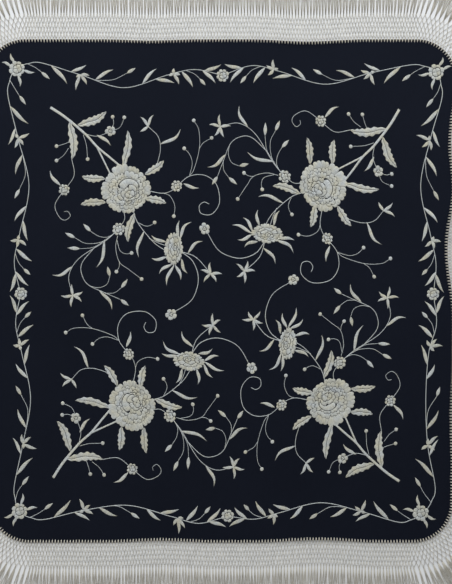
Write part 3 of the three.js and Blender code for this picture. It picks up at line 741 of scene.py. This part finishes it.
def sew_border(side, following):
    """The vine of one side, with the flowers at its middle and at its first corner."""
    start, finish = np.array(side["corner"], float), np.array(following["corner"], float)
    middle = np.array(side["middle"], float)
    run = (finish - start) / np.linalg.norm(finish - start)
    outward = left_of(run)
    needle = Needle(lambda points: np.asarray(points, float) * MM, side["hand"])
    for half, corner in enumerate((start, finish)):
        axis = middle - corner
        bulge, sag = side["bulges"][half], side["sags"][half]
        sign = 1 if half == 0 else -1

        def place(share, out):
            """A place by its share of the way and its distance outwards, with the side's own moves."""
            for key, spot, spread in VINE_MOVES:
                out = out + side[key][half] * math.exp(-((share - spot) / spread) ** 2)
            return corner + axis * share + outward * out

        points = [place(share, out + swing * bulge - hang * sag) for share, out, swing, hang in VINE_WAVE]
        path = smooth_path(points, 6.0)
        shares = (path - corner) @ axis / (axis @ axis)
        levels = (path - corner) @ outward

        def on_vine(share):
            """The point of the vine at a share of the way."""
            return np.array([np.interp(share, shares, path[:, k]) for k in (0, 1)])

        needle.stem(points, (2.2, 2.0), height=0.9, step=5.0)
        for share, tip, width, bend in VINE_LEAVES:
            needle.leaf(on_vine(share), place(*tip), width, sign * bend * VINE_LEAF_BOW)
        for share, via, base, tip in VINE_BUDS:
            base = place(*base)
            needle.stem([on_vine(share), place(*via), base], (1.7, 1.5), 0.8, step=5.0)
            needle.leaf(base, place(*tip), VINE_BUD_WIDTH)
        for share, petals in TULIPS:
            root = on_vine(share)
            for k, (ahead, out) in enumerate(petals):
                tip = place(share + ahead, np.interp(share, shares, levels) + out)
                needle.leaf(root, tip, TULIP_PETAL_WIDTH, TULIP_BENDS[k % 3])
    for flower, radius, puff in ((middle, MIDDLE_FLOWER_RADIUS, 0.18), (start, CORNER_FLOWER_RADIUS, 0.16)):
        needle.rings(flower, (radius, radius), CORNER_RINGS, puff=puff, gap=0.45)
    diagonal = (outward - run) / math.sqrt(2)
    for degrees, reach, bend in CORNER_LEAVES:
        turn = math.radians(degrees)
        along = diagonal * math.cos(turn) + left_of(diagonal) * math.sin(turn)
        needle.leaf(start + along * CORNER_LEAF_START, start + along * reach, CORNER_LEAF_WIDTH, bend)
    return needle


class Yarn(Work):
    """Tubes of yarn and knots gathered for one joined mesh."""

    def tube(self, path, width, sides, tone):
        """A closed tube along path, an array of places in metres. width may change along it."""
        path = np.asarray(path, float)
        rows = len(path)
        run = unit(np.gradient(path, axis=0))
        level = unit(np.stack((-run[:, 1], run[:, 0], np.zeros(rows)), axis=1))
        upward = np.cross(run, level)
        half = np.broadcast_to(np.asarray(width, float) / 2, (rows,))
        angles = 2 * np.pi * (np.arange(sides) + 0.5) / sides
        points = (
            path[:, None]
            + level[:, None] * (np.cos(angles)[None, :, None] * half[:, None, None])
            + upward[:, None] * (np.sin(angles)[None, :, None] * (half * YARN_FLATNESS)[:, None, None])
        ).reshape(-1, 3)
        uv = np.stack((np.tile(angles / (2 * np.pi), rows) * 4 * MM, np.repeat(travel(path), sides)), axis=1)
        self.add(points, tube_faces(rows, sides), uv, tone)

    def knot(self, centre, radius, tone):
        """A small pressed knot: three rings of six points, the middle ring the widest."""
        centre = np.array(centre)
        corners = [(math.cos(a), math.sin(a), 0) for a in np.arange(6) * math.pi / 3]
        ring = centre + radius * np.array(corners)
        low, high = (centre + (ring - centre) * 0.6 + (0, 0, rise * radius) for rise in (-0.55, 0.55))
        self.add(np.vstack((low, ring, high)), tube_faces(3, 6), np.zeros((18, 2)), tone)


class Fringe(Yarn):
    """The ties, the net and the loose strands of one side."""

    def __init__(self, settings, side, low, high):
        super().__init__()
        self.settings = settings
        self.side = side
        self.low = low
        self.columns = int(round((high - low) / settings.tie_pitch))
        self.pitch = (high - low) / self.columns
        self.knots = self.knot_places()
        self.tie_net()
        self.tie_over_hem()
        self.hang_strands()

    def knot_places(self):
        """Where the knots lie, by row and column. Every second row lies half a pitch further along."""
        step = self.settings.net_depth / self.settings.net_rows
        knots = {}
        for r in range(self.settings.net_rows + 1):
            point, outward, _ = EDGE.at(self.low + self.pitch * (np.arange(self.columns + 1) + 0.5 * (r % 2)))
            for i in range(self.columns + 1):
                stray = np.array((noise(self.side, r, i) - 0.5, noise(i, self.side, r + 9) - 0.5))
                stray = stray * KNOT_STRAY * MM
                place = point[i] + outward[i] * (NET_START * MM + r * step + stray[1])
                place = place + left_of(outward[i]) * stray[0]
                knots[r, i] = (*place, (1.4 + 0.5 * noise(r, i, self.side)) * MM)
        return knots

    def tie_net(self):
        """Knots joined by yarn to the two knots below them."""
        for r in range(self.settings.net_rows):
            for i in range(self.columns):
                tone = noise(i, r, self.side)
                here = self.knots[r, i]
                self.knot(here, (NET_KNOT if r else TIE_KNOT) * MM, tone)
                ahead = i + r % 2
                for below in (ahead, ahead - 1):
                    if (r + 1, below) in self.knots:
                        a, b = np.array(here), np.array(self.knots[r + 1, below])
                        self.tube((a, (a + b) / 2 + (0, 0, 0.3 * MM), b), NET_YARN * MM, 4, tone)

    def tie_over_hem(self):
        """Each tie is three turns of yarn from the cloth over the hem to a knot of the first row."""
        point, outward, lift = EDGE.at(self.low + self.pitch * np.arange(self.columns))
        for i, o in enumerate(outward):
            top = CLOTH_THICKNESS + undulation(*point[i]) + lift[i] + TIE_TOP * MM
            across = left_of(o)
            reach = 7.6 + 1.4 * noise(i, self.side, 6)
            for turn in (-1, 0, 1):
                route = []
                for out, spread, rise in ((-reach, 0.2, -2.2), (1.6 - reach, 0.5, -1.0), (-3.4, 1.2, -0.1),
                                          (-0.6, 1.8, 0.1), (1.6, 1.7, -1.2)):
                    spot = point[i] + o * out * MM + across * turn * spread * MM
                    route.append((*spot, top + rise * MM))
                route.append(self.knots[0, i])
                self.tube(route, TIE_YARN * MM, 4, 0.6 + 0.4 * noise(i, self.side, turn + 2))

    def hang_strands(self):
        """Loose strands fall from each lowest knot, fanned out softly round the corners."""
        side, rows = self.side, self.settings.net_rows
        marks = self.low + self.pitch * (np.arange(self.columns) + 0.5 * (rows % 2))
        edge, outward, _ = EDGE.at(marks)
        spreads = np.linspace(-FALL_SPREAD, FALL_SPREAD, 12) * MM
        fall = unit(sum(EDGE.at(marks + spread)[1] for spread in spreads))
        t = np.linspace(0, 1, 11)
        width = self.settings.strand_width * (1.25 - 0.45 * t)
        for i, o in enumerate(fall):
            root = np.array(self.knots[rows, i])
            self.knot(root, LAST_KNOT * MM, noise(i, side, 4))
            across = left_of(o)
            corner = 1 - abs(outward[i]).max()
            count = self.settings.strands + (CORNER_STRANDS if corner > CORNER_TURN else 0)
            open_out = 1.15 + 14 * corner
            drift = math.sin(i * 0.11 + side * 2.0) * 9 + math.sin(i * 0.37 + side) * 5
            reach = self.settings.net_depth + self.settings.strand_length
            full = reach - (root[:2] - edge[i]) @ outward[i]
            lean = noise(i, side, 13) * 6.3
            shared = np.sin(t * 7.5 + lean) - math.sin(lean)
            for s in range(count):
                part = (s - (count - 1) / 2) / count
                wander = (noise(i, s, side) - 0.5) * (9 + 60 * corner) * MM
                length = full - (4 + noise(s, i, side + 5) ** 2 * 22) * MM
                turn = 6.3 * noise(i, s, 11)
                own = np.sin(t * (4.0 + 5.0 * noise(i, s, 8)) + turn) - math.sin(turn)
                offset = (part * self.pitch * open_out * np.minimum(1, t * 5 + 0.1) + drift * MM * t**1.6
                          + wander * t + (1.9 * shared + 1.5 * own) * MM * np.minimum(1, 2.5 * t))
                path = root[:2] + o * (length * t)[:, None] + across * offset[:, None]
                z = (1.0 + 1.5 * noise(i, s, 21) * np.sin(np.pi * t * (1 + noise(i, s, 5))) ** 2) * MM
                self.tube(np.column_stack((path, z)), width, 3, noise(i, s, side + 2))


class Finish:
    """A new node material, with short ways to add nodes and join them to its shader."""

    def __init__(self, name):
        self.material = bpy.data.materials.new(name)
        self.material.use_nodes = True
        self.tree = self.material.node_tree
        self.shader = self.tree.nodes["Principled BSDF"]

    def feed(self, node, inputs):
        """Gives inputs their values, or joins them to the outputs of other nodes."""
        for key, value in inputs.items():
            if isinstance(value, bpy.types.NodeSocket):
                self.tree.links.new(value, node.inputs[key])
            else:
                node.inputs[key].default_value = value

    def node(self, kind, output, inputs=None, **settings):
        """One output of a new node."""
        node = self.tree.nodes.new("ShaderNode" + kind)
        for key, value in settings.items():
            setattr(node, key, value)
        self.feed(node, inputs or {})
        return node.outputs[output]

    def compute(self, operation, *values):
        """The result of one sum on numbers and outputs."""
        return self.node("Math", 0, dict(enumerate(values)), operation=operation)

    def total(self, start, *parts):
        """start and, for each part, an output times its weight."""
        for part, weight in parts:
            start = self.compute("MULTIPLY_ADD", part, weight, start)
        return start

    def ribs(self, along, pitch):
        """A wave from -1 to 1 that repeats at every pitch."""
        return self.compute("SINE", self.compute("MULTIPLY", along, 2 * math.pi / pitch))

    def axis(self, vector, name):
        """X, Y or Z of a vector."""
        return self.node("SeparateXYZ", name, {0: vector})

    def place(self):
        """The place on the object, in metres."""
        return self.node("TexCoord", "Object")

    def thread(self):
        """How far across and along the stitches or the yarn a place lies, in metres."""
        return self.node("UVMap", "UV", uv_map="thread")

    def tone(self):
        """The tone of each patch or yarn, held by the mesh; on the floss's patches it is partly painted
        sheen.
        """
        return self.node("Attribute", "Fac", attribute_name="tone")

    def stretched(self, vector, scale):
        """The vector with its axes scaled, each by its own share."""
        return self.node("Mapping", "Vector", {"Vector": vector, "Scale": scale})

    def cloud(self, vector, scale, detail):
        """Soft uneven patches from 0 to 1."""
        return self.node("TexNoise", "Fac", {"Vector": vector, "Scale": scale, "Detail": detail})

    def mixed(self, factor, low, high, **settings):
        """A colour between two others."""
        inputs = {"Factor": factor, "A": low, "B": high}
        return self.node("Mix", "Result", inputs, data_type="RGBA", **settings)

    def shades(self, factor, colour, low, high):
        """The colour between two strengths of itself."""
        return self.mixed(factor, *((*(min(1.0, c * share) for c in colour), 1) for share in (low, high)))

    def bumped(self, *layers):
        """Chains bumps: height, distance in metres, strength."""
        normal = {}
        for height, distance, strength in layers:
            inputs = {"Height": height, "Distance": distance, "Strength": strength} | normal
            normal = {"Normal": self.node("Bump", "Normal", inputs)}
        self.feed(self.shader, normal)


def crepe_material(colour):
    """Dull dark silk crepe: crossed twisted threads with a pebbled grain and a soft bloom."""
    finish = Finish("crossed_crepe_weave")
    place = finish.place()
    warp = finish.ribs(finish.axis(place, "X"), 0.62 * MM)
    weft = finish.ribs(finish.axis(place, "Y"), 0.55 * MM)
    weave = finish.compute("MULTIPLY", warp, weft)
    grain = finish.cloud(place, 900.0, 2.0)
    slub = finish.cloud(place, 70.0, 3.0)
    cloud = finish.cloud(place, 3.2, 3.0)
    tint = finish.total(-0.45, (cloud, 0.55), (slub, 0.45), (weave, 0.35), (grain, 0.9))
    finish.bumped((weave, 0.16 * MM, 0.7), (grain, 0.35 * MM, 0.7), (slub, 0.5 * MM, 0.2))
    finish.feed(finish.shader, {
        "Base Color": finish.shades(tint, colour, 0.55, 1.45), "Roughness": finish.total(0.58, (slub, 0.14)),
        "Sheen Weight": 0.02, "Sheen Roughness": 0.5, "Specular IOR Level": 0.10,
        "Sheen Tint": (0.45, 0.60, 1.0, 1), "Specular Tint": (0.55, 0.68, 1.0, 1)})
    return finish.material


def thread_material(colour, pitch):
    """Ivory silk floss laid side by side: fine lines across the stitch, with a silky gloss."""
    finish = Finish("laid_silk_floss")
    thread, place, tone = finish.thread(), finish.place(), finish.tone()
    line = finish.ribs(finish.axis(thread, "Y"), pitch)
    strand = finish.cloud(finish.stretched(thread, (90, 1100, 1)), 1.0, 2.0)
    lock = finish.cloud(finish.stretched(thread, (60, 330, 1)), 1.0, 2.0)
    cloud = finish.cloud(place, 26.0, 3.0)
    # The patch tone lightens or darkens whole patches: painted sheen, as satin catches the light by the way
    # its threads run.
    level = finish.total(-1.00, (tone, 0.30), (cloud, 0.45), (strand, 0.95), (lock, 1.75), (line, 0.10))
    # Age yellows the floss in soft clouds; patches of lighter tone, with more painted sheen, turn a little
    # cooler.
    age_and_sheen = finish.total(-0.5, (finish.cloud(place, 42.0, 2.0), 2.4), (tone, -0.4))
    dye = finish.mixed(age_and_sheen, (0.94, 0.985, 1.08, 1), (1.07, 1.02, 0.88, 1))
    shade = finish.shades(level, colour, 0.60, 1.20)
    finish.bumped((line, 0.12 * MM, 0.5), (strand, 0.5 * MM, 0.8), (lock, 0.9 * MM, 0.6))
    finish.feed(finish.shader, {
        "Base Color": finish.mixed(1.0, shade, dye, blend_type="MULTIPLY"),
        "Roughness": finish.total(0.30, (strand, 0.25)),
        "Sheen Weight": 0.15, "Sheen Roughness": 0.4, "Specular IOR Level": 0.5})
    return finish.material


def yarn_material(colour):
    """Twisted ivory silk yarn of the net and the fringe."""
    finish = Finish("twisted_silk_yarn")
    thread, place = finish.thread(), finish.place()
    spiral = finish.compute("ADD", finish.axis(thread, "Y"), finish.axis(thread, "X"))
    twist = finish.ribs(spiral, 1.6 * MM)
    fuzz = finish.cloud(place, 800.0, 2.0)
    level = finish.total(0.0, (finish.tone(), 0.6), (finish.cloud(place, 14.0, 3.0), 0.5))
    finish.bumped((twist, 0.18 * MM, 0.6), (fuzz, 0.15 * MM, 0.4))
    finish.feed(finish.shader, {
        "Base Color": finish.shades(level, colour, 0.72, 1.15), "Roughness": finish.total(0.45, (fuzz, 0.2)),
        "Sheen Weight": 0.3, "Sheen Roughness": 0.4, "Specular IOR Level": 0.5})
    return finish.material


def floor_material(colour):
    """A matt pale floor with faint clouds."""
    finish = Finish("pale_floor")
    cloud = finish.cloud(finish.place(), 1.2, 4.0)
    finish.feed(finish.shader, {
        "Base Color": finish.shades(cloud, colour, 1, 1.03), "Roughness": 0.9, "Specular IOR Level": 0.2})
    return finish.material


def colour_setting(name, description, default):
    """A colour that a user can change."""
    return bpy.props.FloatVectorProperty(
        name=name, description=description, subtype="COLOR", size=3, default=default)


def length_setting(name, description, default):
    """A length that a user can change."""
    return bpy.props.FloatProperty(name=name, description=description, unit="LENGTH", default=default)


class ShawlCloth(bpy.types.PropertyGroup):
    """Sizes and colour of the crepe."""

    colour: colour_setting("Crepe colour", "Colour of the dark silk", (0.0052, 0.0061, 0.0100))
    thickness: length_setting("Thickness", "Thickness of the crepe", CLOTH_THICKNESS)
    cell: length_setting("Cell", "Size of one cell of the sheet's grid", 12 * MM)
    hem: length_setting("Hem", "Thickness of the rolled hem", 3.0 * MM)


class ShawlStitch(bpy.types.PropertyGroup):
    """Thread of the embroidery."""

    colour: colour_setting("Floss colour", "Colour of the silk floss", (0.455, 0.452, 0.40))
    pitch: length_setting("Thread pitch", "Distance between threads lying side by side", 0.55 * MM)


class ShawlFringe(bpy.types.PropertyGroup):
    """Sizes and colour of the net and its strands."""

    colour: colour_setting("Yarn colour", "Colour of the fringe yarn", (0.56, 0.52, 0.43))
    tie_pitch: length_setting("Tie pitch", "Distance between the ties over the hem", 9 * MM)
    net_depth: length_setting("Net depth", "Depth of the knotted net", 72 * MM)
    net_rows: bpy.props.IntProperty(
        name="Net rows", description="Rows of diamonds in the net", default=5)
    strand_length: length_setting("Strand length", "Length of the loose strands", 296 * MM)
    strand_width: length_setting("Strand width", "Thickness of one loose strand", 1.5 * MM)
    strands: bpy.props.IntProperty(
        name="Strands", description="Loose strands hanging from each lowest knot", default=4)


class ShawlStage(bpy.types.PropertyGroup):
    """Camera, floor and light."""

    camera_height: length_setting("Camera height", "Height of the camera above the floor", 3.0)
    frame_length: length_setting("Frame length", "Length of shawl across the picture's long side", 1.7491)
    floor_colour: colour_setting("Floor colour", "Colour of the plain floor", (0.80, 0.80, 0.79))


def light(name, place, aim, size, power, colour, spread):
    """An area lamp at a place, turned towards its aim."""
    bpy.ops.object.light_add(type="AREA", location=place)
    lamp = bpy.context.object
    lamp.name = name
    lamp.data.shape = "RECTANGLE"
    lamp.data.size, lamp.data.size_y = size
    lamp.data.energy = power
    lamp.data.color = colour
    lamp.data.spread = math.radians(spread)
    away = np.array(place) - np.array(aim)
    flat = math.hypot(away[0], away[1])
    lamp.rotation_euler = (math.atan2(flat, away[2]), 0, math.atan2(away[0], -away[1]) if flat else 0)


class SHAWL_OT_stage(bpy.types.Operator):
    """Set up the overhead camera, the pale floor and soft studio light"""

    bl_idname = "shawl.stage"
    bl_label = "Stage"

    def execute(self, context):
        stage = context.scene.shawl_stage
        bpy.ops.object.select_all(action="DESELECT")
        bpy.ops.mesh.primitive_plane_add(size=1, location=(0, 0, 0))
        floor = context.object
        floor.name = "pale_floor"
        bpy.ops.object.mode_set(mode="EDIT")
        bpy.ops.mesh.select_all(action="SELECT")
        bpy.ops.transform.resize(value=(FLOOR_SIZE, FLOOR_SIZE, 1))
        bpy.ops.mesh.subdivide(number_cuts=3)
        bpy.ops.object.mode_set(mode="OBJECT")
        floor.data.materials.append(floor_material(tuple(stage.floor_colour)))
        bpy.ops.object.camera_add(location=(*CAMERA_PLACE, stage.camera_height), rotation=(0, 0, 0))
        camera = context.object
        camera.name = "overhead_camera"
        camera.data.sensor_width = SENSOR_WIDTH
        camera.data.lens = SENSOR_WIDTH * stage.camera_height / stage.frame_length
        context.scene.camera = camera
        for name, lamp in LAMPS.items():
            light(name, *lamp)
        world = bpy.data.worlds.new("studio")
        world.use_nodes = True
        background = world.node_tree.nodes["Background"]
        background.inputs["Color"].default_value = SKY_COLOUR
        background.inputs["Strength"].default_value = SKY_STRENGTH
        context.scene.world = world
        context.scene.view_settings.view_transform = "Standard"
        return {"FINISHED"}


def square_to_outline(s, t):
    """Places on the cloth for points of a square from -1 to 1, bent to the outline near the edge."""
    m = np.maximum(np.abs(s), np.abs(t))
    a, b = s / np.maximum(m, 1e-9), t / np.maximum(m, 1e-9)
    rim = 1 - 1e-9
    faces = (a >= rim, b >= rim, a <= -rim)
    side = np.select(faces, (0, 1, 2), 3)
    share = np.select(faces, ((b + 1) / 2, (1 - a) / 2, (1 - b) / 2), (1 + a) / 2)
    starts, ends = EDGE.side_spans()
    low, high = starts[side], ends[side]
    edge = EDGE.at(low + (high - low) * share)[0]
    width = BOTTOM_WIDTH / 2 + (TOP_WIDTH - BOTTOM_WIDTH) / 2 * (t + 1) / 2
    straight = np.stack((s * width, t * HEIGHT / 2), axis=1)
    blend = np.clip((m - STRAIGHT_SHARE) / (1 - STRAIGHT_SHARE), 0, 1)
    blend = (blend * blend * (3 - 2 * blend))[:, None]
    return straight * (1 - blend) + edge * m[:, None] * blend


class SHAWL_OT_cloth(bpy.types.Operator):
    """Make the crepe square from a grid bent to its rounded outline"""

    bl_idname = "shawl.cloth"
    bl_label = "Crepe cloth"

    def execute(self, context):
        settings = context.scene.shawl_cloth
        bpy.ops.object.select_all(action="DESELECT")
        across = int(round(TOP_WIDTH / settings.cell))
        along = int(round(HEIGHT / settings.cell))
        bpy.ops.mesh.primitive_grid_add(x_subdivisions=across, y_subdivisions=along, size=2)
        crepe = context.object
        crepe.name = crepe.data.name = "crepe_cloth"
        flat = np.zeros(len(crepe.data.vertices) * 3)
        crepe.data.vertices.foreach_get("co", flat)
        flat = flat.reshape(-1, 3)
        place = square_to_outline(flat[:, 0], flat[:, 1])
        z = cloth_top(place[:, 0], place[:, 1])
        crepe.data.vertices.foreach_set("co", np.column_stack((place, z)).ravel())
        crepe.data.update()
        wall = crepe.modifiers.new("wall", "SOLIDIFY")
        wall.thickness = settings.thickness
        wall.offset = -1
        bpy.ops.object.modifier_apply(modifier="wall")
        bpy.ops.object.shade_smooth_by_angle(angle=math.radians(40))
        crepe.data.materials.append(crepe_material(tuple(settings.colour)))
        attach(crepe, "root")
        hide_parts("cloth")
        return {"FINISHED"}


class SHAWL_OT_hem(bpy.types.Operator):
    """Roll the hem round the edge of the cloth"""

    bl_idname = "shawl.hem"
    bl_label = "Rolled hem"

    def execute(self, context):
        thick = context.scene.shawl_cloth.hem
        marks = np.arange(0, EDGE.length, HEM_STEP)
        point, outward, lift = EDGE.at(marks)
        base = undulation(point[:, 0], point[:, 1]) + lift
        points, faces = [], []
        for k in range(HEM_SIDES):
            angle = 2 * math.pi * k / HEM_SIDES
            out = math.cos(angle) * thick * 0.62 - HEM_INSET
            up = math.sin(angle) * thick * 0.5 + thick * 0.5
            points.append(np.column_stack((point + outward * out, base + up)))
        points = np.stack(points, axis=1).reshape(-1, 3)
        for i in range(len(marks)):
            here, there = i * HEM_SIDES, (i + 1) % len(marks) * HEM_SIDES
            for k in range(HEM_SIDES):
                m = (k + 1) % HEM_SIDES
                faces.append((here + k, there + k, there + m, here + m))
        hem = Work()
        hem.add(points, faces, np.zeros((len(points), 2)), 0.5)
        piece = hem.piece("rolled_hem", bpy.data.materials["crossed_crepe_weave"], "dark_silk_crepe")
        return {"FINISHED"}


def floss(context):
    """The material of all embroidery, made once."""
    settings = context.scene.shawl_stitch
    return (bpy.data.materials.get("laid_silk_floss")
            or thread_material(tuple(settings.colour), settings.pitch))


class SHAWL_OT_sprays(bpy.types.Operator):
    """Sew the four sprays of flowers"""

    bl_idname = "shawl.sprays"
    bl_label = "Embroidered sprays"

    def execute(self, context):
        for turns, (name, centre, across, up) in enumerate(SPRAYS):
            sewn = sew_spray(turns, centre, across, up)
            sewn.piece(f"stitched_spray_{name}", floss(context), "ivory_silk_thread", f"spray_{name}")
        return {"FINISHED"}


class SHAWL_OT_borders(bpy.types.Operator):
    """Sew the vine border on the four sides"""

    bl_idname = "shawl.borders"
    bl_label = "Embroidered border"

    def execute(self, context):
        for side, following in zip(BORDER_SIDES, BORDER_SIDES[1:] + BORDER_SIDES[:1]):
            name = side["name"]
            sewn = sew_border(side, following)
            sewn.piece(f"stitched_border_{name}", floss(context), "ivory_silk_thread", f"border_{name}")
        return {"FINISHED"}


class SHAWL_OT_fringe(bpy.types.Operator):
    """Tie the net and the loose strands to the hem on the four sides"""

    bl_idname = "shawl.fringe"
    bl_label = "Knotted fringe"

    def execute(self, context):
        settings = context.scene.shawl_fringe
        material = yarn_material(tuple(settings.colour))
        for side, (name, low, high) in enumerate(zip(SIDES, *EDGE.side_spans())):
            fringe = Fringe(settings, side, low, high)
            fringe.piece(f"knotted_fringe_{name}", material, "ivory_silk_fringe", f"fringe_{name}")
        return {"FINISHED"}


class SHAWL_PT_panel(bpy.types.Panel):
    """Steps of making the shawl"""

    bl_label = "Embroidered shawl"
    bl_idname = "SHAWL_PT_panel"
    bl_space_type = "VIEW_3D"
    bl_region_type = "UI"
    bl_category = "Shawl"

    def draw(self, context):
        for name in GROUPS:
            group = getattr(context.scene, name)
            box = self.layout.box()
            for key in group.bl_rna.properties.keys():
                if key not in ("rna_type", "name"):
                    box.prop(group, key)
        for step in STEPS:
            self.layout.operator(step.bl_idname)


STEPS = (SHAWL_OT_stage, SHAWL_OT_cloth, SHAWL_OT_hem, SHAWL_OT_sprays, SHAWL_OT_borders, SHAWL_OT_fringe)
GROUPS = {
    "shawl_cloth": ShawlCloth,
    "shawl_stitch": ShawlStitch,
    "shawl_fringe": ShawlFringe,
    "shawl_stage": ShawlStage,
}


def register():
    for cls in (*GROUPS.values(), *STEPS, SHAWL_PT_panel):
        bpy.utils.register_class(cls)
    for name, group in GROUPS.items():
        setattr(bpy.types.Scene, name, bpy.props.PointerProperty(type=group))


def unregister():
    for name in GROUPS:
        delattr(bpy.types.Scene, name)
    for cls in (SHAWL_PT_panel, *reversed(STEPS), *reversed(tuple(GROUPS.values()))):
        bpy.utils.unregister_class(cls)


def main():
    """Makes the shawl step by step."""
    register()
    for step in STEPS:
        group, name = step.bl_idname.split(".")
        getattr(getattr(bpy.ops, group), name)()


if __name__ == "__main__":
    main()
